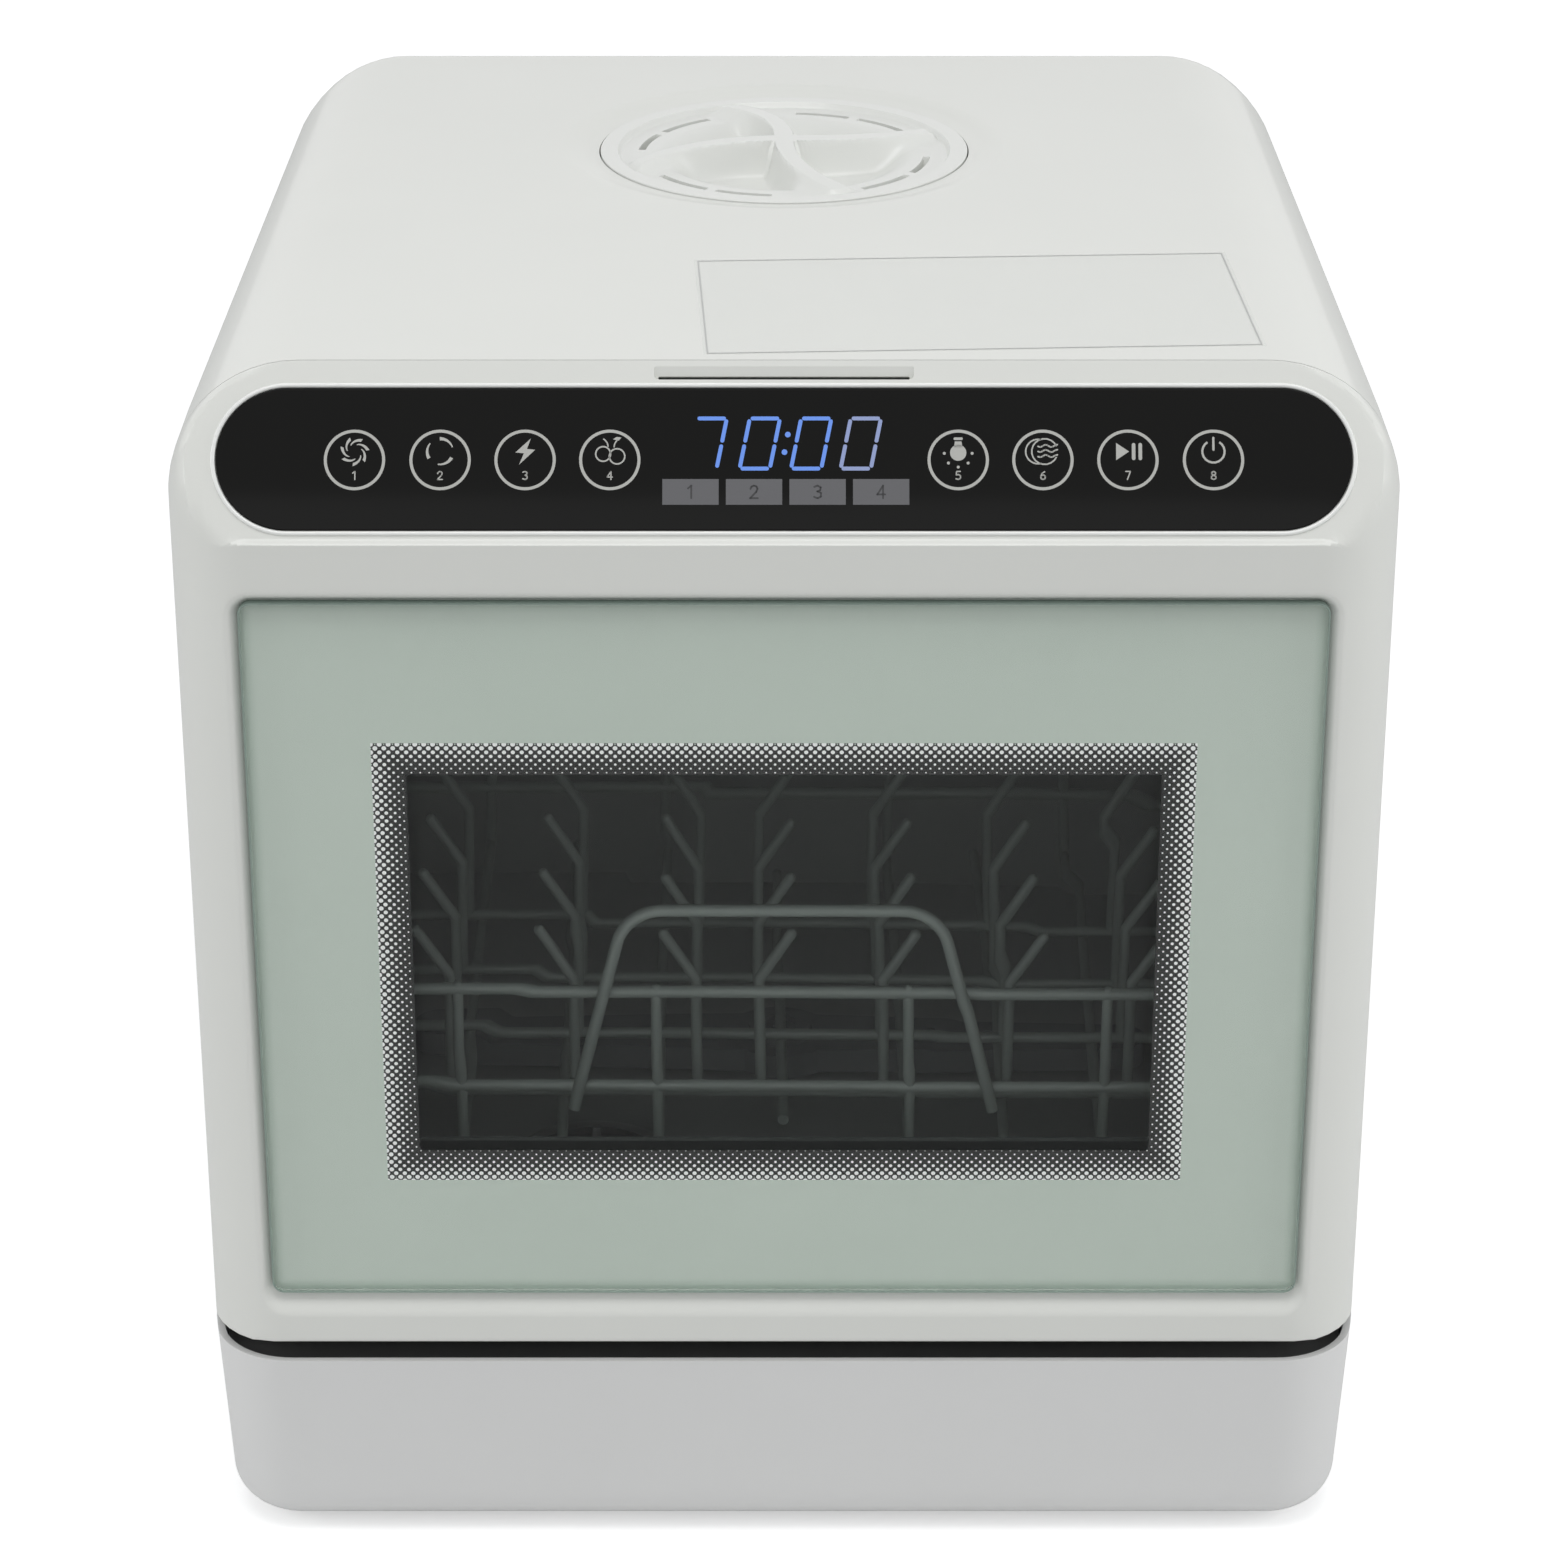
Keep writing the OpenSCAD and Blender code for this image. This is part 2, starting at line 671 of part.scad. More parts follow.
module hinge_bracket_right() {
    color("silver") placed() hinge_bracket();
}

module hinge_bracket_left() {
    color("silver") placed() mirror([1, 0, 0]) hinge_bracket();
}

module latch_hook() {
    w = latch_w / 2;
    color("silver") placed() {
        block([-w, liner_face, latch_z - 3], [w, liner_face + 2, latch_z + 5]);
        prism_x(-w + 2, w - 2) polygon([[liner_face, latch_z - 1.5], [liner_face + 15, latch_z - 1.5], [liner_face + 17, latch_z - 3],
            [liner_face + 20, latch_z], [liner_face + 18, latch_z + 2], [liner_face, latch_z + 2]]);
    }
}

module latch_keeper() {
    w = latch_w / 2 + 6;
    color("silver") placed() {
        block([-w, tub_y, latch_z - 16], [w, tub_y + 2, latch_z - 10]);
        for (x = [-w, w - 2]) block([x, tub_y, latch_z - 16], [x + 2, tub_y + 12, latch_z - 4]);
        rod_x(tub_y + 7, latch_z - 6.5, -w, w, 4);
    }
}

module door_switch() {
    color("black") placed() difference() {
        block([switch_x - 7, tub_y, switch_z - 8], [switch_x + 7, tub_y + 16, switch_z + 8]);
        rod_y(switch_x, switch_z, tub_y - 1, tub_y + 13, 4 + 2 * pin_gap);
    }
}

module switch_plunger() {
    color("ivory") placed() {
        rod_y(switch_x, switch_z, liner_face + 0.4, tub_y + 9, 4);
    }
}

// ---- rack -----------------------------------------------------------

rack_x = rack_w / 2;
rack_back_y = rack_y + rack_d;
rack_r = 14;
stay_x = [rack_x - 46, rack_x - 117.5];
run_x = [rack_x - 46, rack_x - 82, rack_x - 117.5];
tine_shift = 8;
tine_pitch = (rack_x - tine_lean - tine_end_gap + tine_shift) / 3;
row_y0 = rack_y + 35;

function row_y(i) = row_y0 + i * row_pitch;

// A corner bend of a wire that lies level
module level_bend(x, y, z, turn, d) {
    translate([x, y, z]) rotate([0, 0, turn]) rotate_extrude(angle = 90) translate([rack_r, 0]) circle(d = d);
}

// A bar between two points with rounded ends
module wire(a, b, d) {
    v = b - a;
    len = norm(v);
    translate(a) rotate([0, acos(v[2] / len), atan2(v[1], v[0])]) cylinder(h = len, d = d, $fn = 24);
    translate(a) sphere(d = d, $fn = 24);
    translate(b) sphere(d = d, $fn = 24);
}

module cross_wires(y) {
    for (z = [rim_z, girdle_z]) rod_x(y, z, -rack_x + rack_r, rack_x - rack_r, rim_wire);
    for (x = stay_x, s = [-1, 1]) wire([s * x, y, floor_wire_z], [s * x, y, rim_z + 1], tine_wire);
}

module rack_front() {
    color("dimgray") placed() cross_wires(rack_y);
}

module rack_back() {
    color("dimgray") placed() cross_wires(rack_back_y);
}

module rack_side() {
    for (z = [rim_z, girdle_z]) {
        translate([0, 0, z]) rod_y(rack_x, 0, rack_y + rack_r, rack_back_y - rack_r, rim_wire);
        level_bend(rack_x - rack_r, rack_y + rack_r, z, -90, rim_wire);
        level_bend(rack_x - rack_r, rack_back_y - rack_r, z, 0, rim_wire);
    }
    for (i = [0 : tine_rows - 1]) wire([rack_x, row_y(i), row_wire_z], [rack_x, row_y(i), rim_z + 1], tine_wire);
}
row_wire_z = floor_wire_z + tine_wire + 0.05;

module rack_right() {
    color("dimgray") placed() rack_side();
}

module rack_left() {
    color("dimgray") placed() mirror([1, 0, 0]) rack_side();
}

module rack_floor() {
    color("dimgray") placed() {
        for (x = run_x, s = [-1, 1]) rod_y(s * x, floor_wire_z, rack_y + tine_wire / 2, rack_back_y - tine_wire / 2, tine_wire);
        rod_y(0, floor_wire_z, rack_y + 20, rack_back_y - 20, tine_wire);
        for (s = [-1, 1]) rod_y(s * (rack_x - 6), floor_wire_z, rack_y + 20, rack_back_y - 20, tine_wire);
    }
}

// One side of the handle, from the middle of its top down to its foot
module handle_half() {
    top_z = floor_wire_z + handle_rise;
    foot_z = girdle_z - 7;
    bend_z = top_z - handle_bend;
    leg = (bend_z + handle_bend * sin(handle_lean) - foot_z) / cos(handle_lean);
    rod_x(0, top_z, -0.1, handle_flat, rim_wire);
    translate([handle_flat, 0, bend_z]) rotate([90, 0, 0]) difference() {
        rotate_extrude(angle = 90) translate([handle_bend, 0]) circle(d = rim_wire);
        rotate([0, 0, handle_lean - 90]) translate([0, -far / 2, -far / 2]) cube(far);
    }
    translate([handle_flat, 0, bend_z]) rotate([90, 0, 0]) rotate([0, 0, handle_lean])
        translate([handle_bend, 0, 0]) rotate([90, 0, 0]) cylinder(h = leg, d = rim_wire);
}

module rack_handle() {
    color("dimgray") placed() translate([0, rack_y - rim_wire, 0]) both_sides() handle_half();
}

// Tines left of the middle lean left and the others lean right
tine_spots = [for (i = [0 : 2]) -tine_shift - (i + 0.515) * tine_pitch, for (i = [0 : 3]) -tine_shift + i * tine_pitch];

module tine_row(i) {
    y = row_y(i);
    bend = floor_wire_z + tine_bend_rise;
    row_end = rack_x - tine_wire / 2 - 0.05;
    color("dimgray") placed() {
        rod_x(y, row_wire_z, -row_end, row_end, tine_wire);
        for (x = tine_spots) {
            wire([x, y, row_wire_z], [x, y, bend], tine_wire);
            wire([x, y, bend], [x + (x < -2 * tine_shift ? -tine_lean : tine_lean), y, bend + tine_tip_rise], tine_wire);
        }
    }
}

module tine_row_1() { tine_row(0); }
module tine_row_2() { tine_row(1); }
module tine_row_3() { tine_row(2); }
module tine_row_4() { tine_row(3); }

// ---- water ----------------------------------------------------------

tank_foot = tub_floor - tub_t - 2;
tank_y = tub_back + tub_t + 4;
tank_back = body_d - cover_t - 6;
tank_top = lid_boss_z - 12.5;
tank_t = 2;
tank_side = 56;
tank_w = body_w - 2 * tank_side;
neck_w = lid_d + 36;
neck_y = lid_y - lid_d / 2 - 15;
neck_z = tub_floor + tub_h + tub_t + 4;
mouth_r = lid_d / 2 - 14;
collar_r = lid_d / 2 - 7.5;

module tank_form(t) {
    block([t - tank_w / 2, tank_y + t, tank_foot + t], [tank_w / 2 - t, tank_back - t, neck_z + 14 - t]);
    block([t - neck_w / 2, neck_y + t, neck_z + t], [neck_w / 2 - t, tank_back - t, tank_top - t]);
}
float_x = tank_w / 2 - 60;
float_y = (tank_y + tank_back) / 2;
float_d = 32;
float_stem = 8;
stub_y = float_y;
stub_len = 10;

module water_tank() {
    color("whitesmoke", 0.7) placed() {
        difference() {
            tank_form(0);
            tank_form(tank_t);
            translate([0, lid_y, tank_top - 5]) cylinder(h = 10, r = mouth_r);
            translate([filter_x, stub_y, tank_foot - 1]) cylinder(h = tank_t + 2, d = 6);
        }
        translate([filter_x, stub_y, tank_foot - stub_len]) difference() {
            cylinder(h = stub_len + 0.5, d = 10);
            translate([0, 0, -1]) cylinder(h = stub_len + 3, d = 6);
        }
        translate([float_x, float_y, tank_foot + 1]) cylinder(h = 50, d = float_stem);
    }
}

module float() {
    color("orange") placed() translate([float_x, float_y, tank_foot + tank_t + 0.3]) difference() {
        cylinder(h = 18, d = float_d);
        translate([0, 0, -1]) cylinder(h = 20, d = float_stem + 2 * pin_gap);
    }
}

module fill_collar() {
    shoulder = lid_top - 7;
    color("gray") placed() translate([0, lid_y, 0]) rotate_extrude() polygon([[collar_r, tank_top],
        [lid_boss_r - 4, tank_top], [lid_boss_r - 4, lid_boss_z], [lid_d / 2 + 1.5, lid_boss_z],
        [lid_d / 2 + 1.5, shoulder], [collar_r, shoulder]]);
}

module lid_seal() {
    color("dimgray") placed() translate([0, lid_y, lid_top - 6.7]) rotate_extrude()
        translate([collar_r + 0.6, 0]) square([lid_d / 2 - collar_r - 0.6, 2.4]);
}

// Outline of one grip arm: it leaves the hub and bends round towards the rim
module arm_outline() {
    r0 = 8;
    r1 = lid_d / 2 - 8;
    steps = 10;
    bend = 34;
    function half(u) = atan((7 + 3 * (1 - u) * (1 - u)) / (2 * (r0 + (r1 - r0) * u)));
    side = [for (s = [-1, 1]) [for (i = [0 : steps]) let (u = i / steps) [r0 + (r1 - r0) * u, bend * u * u + s * half(u)]]];
    ring = [for (p = side[0]) p, for (i = [steps : -1 : 0]) side[1][i]];
    polygon([for (p = ring) [p[0] * cos(p[1]), p[0] * sin(p[1])]]);
}

module arc_slot(r, width, from, sweep) {
    rotate([0, 0, from]) rotate_extrude(angle = sweep) translate([r - width / 2, -20]) square([width, 24]);
}

module tank_lid() {
    r = lid_d / 2;
    rim = 8.5;
    color("gainsboro") placed() translate([0, lid_y, lid_top]) difference() {
        union() {
            rotate_extrude() polygon([[0, -lid_dish - 2], [collar_r - 0.6, -lid_dish - 2], [collar_r - 0.6, -4],
                [r, -4], [r, -0.8], [r - 0.8, 0], [r - rim, 0], [r - rim - 3, -lid_dish], [0, -lid_dish]]);
            for (i = [0 : lid_arms - 1]) rotate([0, 0, i * 360 / lid_arms]) intersection() {
                translate([0, 0, -lid_dish - 1]) linear_extrude(lid_dish + lid_hub_rise + 2) arm_outline();
                rotate_extrude() polygon([[0, -lid_dish - 1], [r - rim + 1, -lid_dish - 1], [r - rim + 1, -0.5],
                    [r / 2, 0.6 * lid_hub_rise], [8, lid_hub_rise], [0, lid_hub_rise]]);
            }
            translate([0, 0, -lid_dish - 1]) cylinder(h = lid_dish + 1 + lid_hub_rise, r = 10);
        }
        for (i = [0 : lid_arms - 1]) rotate([0, 0, i * 360 / lid_arms + 38]) {
            arc_slot(r - 16, 2.2, 0, 20);
            arc_slot(r - 16, 2.2, 26, 20);
        }
    }
}

sump_r = filter_d / 2 + 6;
sump_foot = 30;
floor_under = tub_floor - tub_t;

module sump_cup() {
    color("gray") placed() difference() {
        translate([filter_x, filter_y, 0]) rotate_extrude() polygon([[0, sump_foot], [sump_r, sump_foot],
            [sump_r, floor_under - 3], [sump_r + 8, floor_under - 3], [sump_r + 8, floor_under],
            [sump_r - 3, floor_under], [sump_r - 3, sump_foot + 3], [0, sump_foot + 3]]);
        rod_x(filter_y, pump_z, filter_x, filter_x + sump_r + 10, hose_d);
        rod_y(filter_x, pump_z, filter_y, filter_y + sump_r + 10, hose_d);
        rod_y(filter_x, hose_z, filter_y, filter_y + sump_r + 10, hose_d - 4);
    }
}

// Cup of fine mesh, drawn as a closed wall, with a cross to turn it by
module filter_basket() {
    r = filter_d / 2;
    z0 = sump_foot + 3.3;
    color("slategray") placed() translate([filter_x, filter_y, 0]) {
        rotate_extrude() polygon([[0, z0], [r, z0], [r, tub_floor + 2], [r - 5, tub_floor + 2], [r - 2, tub_floor - 2],
            [r - 2, z0 + 2], [0, z0 + 2]]);
        for (a = [0, 90]) rotate([0, 0, a]) translate([-r + 2, -1.5, tub_floor - 12]) cube([2 * r - 4, 3, 13]);
    }
}

spindle_d = 12;
arm_z = tub_floor + 5;

module spray_spindle() {
    color("gray") placed() translate([0, spin_y, 0]) rotate_extrude() polygon([[3, floor_under - 10], [spindle_d / 2, floor_under - 10],
        [spindle_d / 2, floor_under - 3], [14, floor_under - 3], [14, floor_under], [spindle_d / 2, floor_under],
        [spindle_d / 2, tub_floor], [11, tub_floor], [11, arm_z - 0.5], [spindle_d / 2, arm_z - 0.5],
        [spindle_d / 2, arm_z + 11], [3, arm_z + 11]]);
}

module spray_arm() {
    tip_r = arm_w / 2 - 5;
    reach = arm_len / 2 - tip_r;
    color("gray") placed() translate([0, spin_y, arm_z]) difference() {
        union() {
            linear_extrude(9) {
                circle(r = 20);
                for (s = [-1, 1]) translate([s * reach, 0]) circle(r = tip_r);
                for (s = [0, 180]) rotate(s) polygon([[0, -arm_w / 2], [reach, -tip_r], [reach, tip_r], [0, arm_w / 2]]);
            }
            cylinder(h = 13, r = 12);
        }
        translate([0, 0, -1]) cylinder(h = 16, d = spindle_d + 2 * pin_gap);
        for (s = [-1, 1], i = [1 : 5]) translate([s * (18 + i * 20), s * 3, 6]) cylinder(h = 4, d = 3.4);
    }
}

pump_y = filter_y;
pump_z = sump_foot + 12;
volute_x = -13;
volute_w = 26;
volute_r = 26;
can_len = 62;
can_d = 46;
shaft_d = 6;
hose_d = 12;
hose_z = floor_under - 10 - hose_d / 2 - 0.05;

module wash_pump() {
    x1 = volute_x + volute_w;
    color("dimgray") placed() difference() {
        union() {
            rod_x(pump_y, pump_z, volute_x, x1, 2 * volute_r);
            rod_x(pump_y, pump_z, x1 - 1, x1 + can_len, can_d);
            block([x1 + 6, pump_y - 18, foot_h + cover_t], [x1 + can_len - 8, pump_y + 18, pump_z]);
            rod_x(pump_y, pump_z, filter_x + sump_r + 0.3, volute_x + 3, hose_d);
            translate([0, pump_y, pump_z + volute_r - 6]) cylinder(h = hose_z - hose_d / 2 - pump_z - volute_r + 5.95, d = hose_d);
        }
        rod_x(pump_y, pump_z, volute_x + 3, x1 - 3, 2 * volute_r - 6);
        rod_x(pump_y, pump_z, x1 - 4, x1 + can_len - 10, shaft_d + 2 * pin_gap);
        rod_x(pump_y, pump_z, filter_x, volute_x + 4, hose_d - 4);
    }
}

module wash_impeller() {
    x1 = volute_x + volute_w;
    color("ivory") placed() {
        rod_x(pump_y, pump_z, volute_x + 5, x1 + can_len - 12, shaft_d);
        rod_x(pump_y, pump_z, x1 - 8, x1 - 5, 2 * volute_r - 12);
        for (a = [0 : 60 : 300]) translate([volute_x + 6, pump_y, pump_z]) rotate([a, 0, 0])
            translate([0, -1.2, 2]) cube([volute_w - 13, 2.4, volute_r - 9]);
    }
}

drain_x = filter_x;
drain_y = filter_y + sump_r + 8;
drain_r = 20;
drain_w = 18;
drain_can = 44;
drain_out_z = pump_z + 8;
drain_out_x = drain_x - drain_r - 12;
spout_x = drain_out_x - 14;

module drain_pump() {
    y1 = drain_y + drain_w;
    color("dimgray") placed() difference() {
        union() {
            rod_y(drain_x, pump_z, drain_y, y1, 2 * drain_r);
            rod_y(drain_x, pump_z, y1 - 1, y1 + drain_can, 34);
            block([drain_x - 15, y1 + 4, foot_h + cover_t], [drain_x + 15, y1 + drain_can - 6, pump_z]);
            rod_y(drain_x, pump_z, filter_y + sump_r + 0.3, drain_y + 3, hose_d);
            rod_x(drain_y + drain_w / 2, drain_out_z, drain_out_x, drain_x, hose_d);
        }
        rod_y(drain_x, pump_z, drain_y + 3, y1 - 3, 2 * drain_r - 6);
        rod_y(drain_x, pump_z, y1 - 4, y1 + drain_can - 8, 5 + 2 * pin_gap);
        rod_y(drain_x, pump_z, filter_y, drain_y + 4, hose_d - 4);
    }
}

module drain_impeller() {
    y1 = drain_y + drain_w;
    color("ivory") placed() {
        rod_y(drain_x, pump_z, drain_y + 4, y1 + drain_can - 10, 5);
        rod_y(drain_x, pump_z, y1 - 6, y1 - 4, 26);
        for (a = [0 : 90 : 270]) translate([drain_x, drain_y + 5, pump_z]) rotate([0, a, 0])
            translate([-1, 0, 1.5]) cube([2, drain_w - 10, 12]);
    }
}

heater_x = tub_w / 2 - 94;
heater_r = heater_x - 23;
heater_d = 8;

module heater() {
    color("silver") placed() translate([heater_x, spin_y + 31, floor_under - heater_d / 2 - 0.3])
        rotate_extrude(angle = 320) translate([heater_r, 0]) circle(d = heater_d);
}

// A hose along a line of points, with a ball at each bend
module hose(points) {
    for (i = [0 : len(points) - 2]) {
        v = points[i + 1] - points[i];
        translate(points[i]) rotate([0, acos(v[2] / norm(v)), atan2(v[1], v[0])]) cylinder(h = norm(v), d = hose_d);
        if (i > 0) translate(points[i]) sphere(d = hose_d);
    }
}

module wash_hose() {
    color("darkslategray") placed() hose([[0, pump_y - hose_d / 2, hose_z], [0, spin_y + spindle_d / 2, hose_z]]);
}

module drain_hose() {
    y = drain_y + drain_w / 2;
    color("darkslategray") placed() hose([[drain_out_x - 0.05, y, drain_out_z], [spout_x, y, drain_out_z],
        [spout_x, body_d - spout_in - 0.05, drain_out_z]]);
}

// Joins the tank and the inlet spout to the sump
module fill_hose() {
    color("darkslategray") placed() {
        hose([[filter_x, stub_y, tank_foot - stub_len - 0.05], [filter_x, stub_y, drain_out_z],
            [filter_x, body_d - spout_in - 0.05, drain_out_z]]);
        hose([[filter_x, stub_y, hose_z - 8], [filter_x, filter_y + sump_r + 0.05, hose_z - 8]]);
    }
}

// A hose tail with grooves that a clamp's hose grips
module spout(x) {
    r = spout_d / 2;
    groove = 0.7;
    translate([x, body_d, drain_out_z]) rotate([-90, 0, 0]) rotate_extrude() polygon([[r - 3, -spout_in], [r, -spout_in],
        [r, 0.4], [r + 5, 0.4], [r + 5, 3], [r, 3], [r, 12], [r - groove, 12.5], [r - groove, 14], [r, 15],
        [r - groove, 15.5], [r - groove, 17], [r, 18], [r - 1.5, spout_reach], [r - 3, spout_reach]]);
}

module inlet_spout() {
    color("dimgray") placed() spout(filter_x);
}

module drain_spout() {
    color("dimgray") placed() spout(spout_x);
}

module cord_gland() {
    color("black") placed() translate([gland_x, body_d, drain_out_z]) rotate([-90, 0, 0]) rotate_extrude() polygon([
        [gland_bore / 2, -7], [gland_d / 2, -7], [gland_d / 2, 0.4], [gland_d / 2 + gland_brim, 0.4],
        [gland_d / 2 + gland_brim, 3], [gland_d / 2 - 1, 7], [gland_bore / 2, 7]]);
}

// ---- drying air, light and power ------------------------------------

fan_z = tub_floor + tub_h + tub_t;
fan_r = 34;
fan_h = 30;

module fan_housing() {
    color("dimgray") placed() translate([fan_x, fan_y, fan_z]) difference() {
        union() {
            cylinder(h = fan_h, r = fan_r);
            translate([-fan_r - 8, -8, 0]) cube([fan_r + 8, 22, 20]);
        }
        translate([0, 0, 3]) cylinder(h = fan_h - 6, r = fan_r - 3);
        translate([-fan_r - 9, -5, 3]) cube([fan_r, 16, 14]);
        translate([0, 0, fan_h - 4]) cylinder(h = 5, r = 20);
        translate([0, 0, -1]) cylinder(h = 5, d = 5 + 2 * pin_gap);
    }
}

module fan_rotor() {
    color("ivory") placed() translate([fan_x, fan_y, fan_z]) {
        translate([0, 0, 0.5]) cylinder(h = 20, d = 5);
        translate([0, 0, 4]) cylinder(h = 2, r = fan_r - 7);
        for (a = [0 : 30 : 330]) rotate([0, 0, a]) translate([fan_r - 15, -1, 5]) cube([8, 2, 18]);
        translate([0, 0, 5]) cylinder(h = 10, r = 10);
    }
}

module air_duct() {
    x = duct_x;
    x1 = fan_x - fan_r - 8;
    color("dimgray") placed() difference() {
        block([x - 15, duct_y - 12, fan_z], [x1, duct_y + 18, fan_z + 24]);
        block([x - 12.5, duct_y - 9.5, fan_z - 1], [x1 - 2, duct_y + 15.5, fan_z + 21.5]);
        block([x1 - 5, duct_y - 5, fan_z + 3], [x1 + 1, duct_y + 11, fan_z + 17]);
    }
}

board_x = half_w - 108;
board_y = fan_y + 50;
power_w = 84;
power_d = 94;

module power_board() {
    z = foot_h + cover_t;
    color("darkgreen") placed() translate([board_x, board_y, z]) {
        for (x = [7, power_w - 8], y = [7, power_d - 7]) translate([x, y, 0]) cylinder(h = 10.5, d = 7);
        translate([0, 0, 10]) cube([power_w, power_d, 1.6]);
        translate([12, 12, 11]) cube([30, 30, 25]);
        for (i = [0 : 2]) translate([62, 19 + i * 25, 11]) cylinder(h = 24, d = 16);
    }
}

outer_casing();
rear_panel();
base_skirt();
base_plate();
feet();
sill_tray();
wash_tub();
door_gasket();
rack_rail_left();
rack_rail_right();
door_front();
front_glass();
door_liner();
inner_glass();
touch_window();
display_module();
control_board();
hinge_arm_left();
hinge_arm_right();
hinge_bracket_left();
hinge_bracket_right();
latch_hook();
latch_keeper();
door_switch();
switch_plunger();
rack_front();
rack_back();
rack_left();
rack_right();
rack_floor();
rack_handle();
tine_row_1();
tine_row_2();
tine_row_3();
tine_row_4();
water_tank();
fill_collar();
lid_seal();
tank_lid();
sump_cup();
filter_basket();
spray_spindle();
spray_arm();
wash_pump();
wash_impeller();
drain_pump();
drain_impeller();
heater();
float();
wash_hose();
drain_hose();
fill_hose();
inlet_spout();
drain_spout();
fan_housing();
fan_rotor();
air_duct();
chamber_lamp();
power_board();
cord_gland();
cover_screws();
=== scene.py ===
# %% [markdown]
# # Dressing a countertop dishwasher
#
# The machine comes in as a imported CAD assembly: every sub-part is already in
# its place, in metres, with its joints. This lesson dresses that frame. Each
# cell builds one thing the eye sees, as a surface worked out from a formula,
# and gives it the finish of the real material. Distances in the code and the
# comments are millimetres; the helper `MM` turns them into metres.

# %% Load the frame
import json
import math

import bmesh
import bpy
import numpy as np
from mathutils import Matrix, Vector


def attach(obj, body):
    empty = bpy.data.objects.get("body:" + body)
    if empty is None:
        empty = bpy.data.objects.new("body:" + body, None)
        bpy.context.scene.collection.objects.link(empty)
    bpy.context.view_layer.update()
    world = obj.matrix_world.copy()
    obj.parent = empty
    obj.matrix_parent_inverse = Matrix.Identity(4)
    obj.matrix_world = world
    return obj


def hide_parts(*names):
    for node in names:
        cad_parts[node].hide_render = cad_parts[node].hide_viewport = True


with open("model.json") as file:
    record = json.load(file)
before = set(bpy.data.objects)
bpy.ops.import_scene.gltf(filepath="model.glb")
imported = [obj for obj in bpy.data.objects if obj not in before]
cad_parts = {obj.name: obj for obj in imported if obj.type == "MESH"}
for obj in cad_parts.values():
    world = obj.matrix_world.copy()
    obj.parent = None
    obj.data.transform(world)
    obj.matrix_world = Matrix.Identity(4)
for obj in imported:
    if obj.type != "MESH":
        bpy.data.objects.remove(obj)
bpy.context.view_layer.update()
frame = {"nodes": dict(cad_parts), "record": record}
MM = 0.001
print("CAD nodes:", len(frame["nodes"]))

# %% [markdown]
# ## The numbers the shapes share
#
# The covers of such a machine are moulded to one outer form. Each cover could
# carry its own sizes, but one change would then leave the others behind, so
# the same two dozen numbers drive all of them and repeat the CAD part's values.
# Depths are measured back from the door's front face, as a fitter would do,
# and `FRONT` moves them into the frame at the very end.

# %% Driving sizes in millimetres
BODY_W, BODY_H, BODY_D = 412.0, 442.0, 430.0
HALF_W = BODY_W / 2
FRONT = -226.0
# round edges: the shoulders, the upright corners behind and in front, the top's rear edge
TOP_R, REAR_R, FRONT_R, BACK_EDGE_R = 45.0, 36.0, 30.0, 22.0
# the joint between door and casing, and the mouldings' wall
SEAM_Y, SEAM_GAP, WALL = 33.0, 0.6, 2.5
BASE_TOP, DOOR_BOTTOM = 76.0, 83.0
# the sloping panel, seen from the side; the touch bar's middle lies PANEL_MID up the slope
PANEL_RUN, PANEL_RISE = 31.0, 53.0
PANEL_FOOT_Y, PANEL_FOOT_Z = 1.5, BODY_H - PANEL_RISE
PANEL_LEN = math.hypot(PANEL_RUN, PANEL_RISE)
PANEL_LEAN = math.atan2(PANEL_RUN, PANEL_RISE)
PANEL_MID = 0.462 * PANEL_LEN
# the pane's width, height and foot
GLASS_W, GLASS_H, GLASS_Z = 363.0, 264.0, 103.5
GLASS_MID = GLASS_Z + GLASS_H / 2
# the filling lid's place from the front, its diameter and its rim's height
LID_Y, LID_D, LID_TOP = 285.0, 140.0, 440.5
print("panel leans back by", round(math.degrees(PANEL_LEAN), 1), "degrees")

# %% [markdown]
# ## Small helpers
#
# A paint chart gives colours as sRGB hex values, but light adds up in linear
# values, so one function converts them. Another adds a shader node together
# with its settings and links, which keeps each material a short list.

# %% Colours and nodes


def linear(code):
    """sRGB hex to linear: c/12.92 below 0.04045, else ((c + 0.055)/1.055)^2.4."""
    c = np.array([int(code[i:i + 2], 16) for i in (1, 3, 5)]) / 255.0
    c = np.where(c <= 0.04045, c / 12.92, ((c + 0.055) / 1.055) ** 2.4)
    return (*c.tolist(), 1.0)


def add_node(tree, kind, inputs=None, **settings):
    """Adds one node, sets its options and fills its sockets with values or links."""
    node = tree.nodes.new("ShaderNode" + kind)
    for key, value in settings.items():
        setattr(node, key, value)
    for key, value in (inputs or {}).items():
        if isinstance(value, bpy.types.NodeSocket):
            tree.links.new(value, node.inputs[key])
        else:
            node.inputs[key].default_value = value
    return node


def new_material(name):
    """An empty node material and its tree."""
    material = bpy.data.materials.new(name)
    material.use_nodes = True
    material.node_tree.nodes.clear()
    print("finish:", name)
    return material, material.node_tree


# %% [markdown]
# ## From a grid of points to a piece
#
# Every new shape below is a grid: a function of two parameters evaluated as
# whole arrays. Neighbouring grid points become quads. The same shapes could
# be pushed about by hand, but a formula keeps every size known. A wall with
# thickness is two such grids, an outer and an inner one, stitched along their
# borders, so that the mesh is closed like the real moulding.

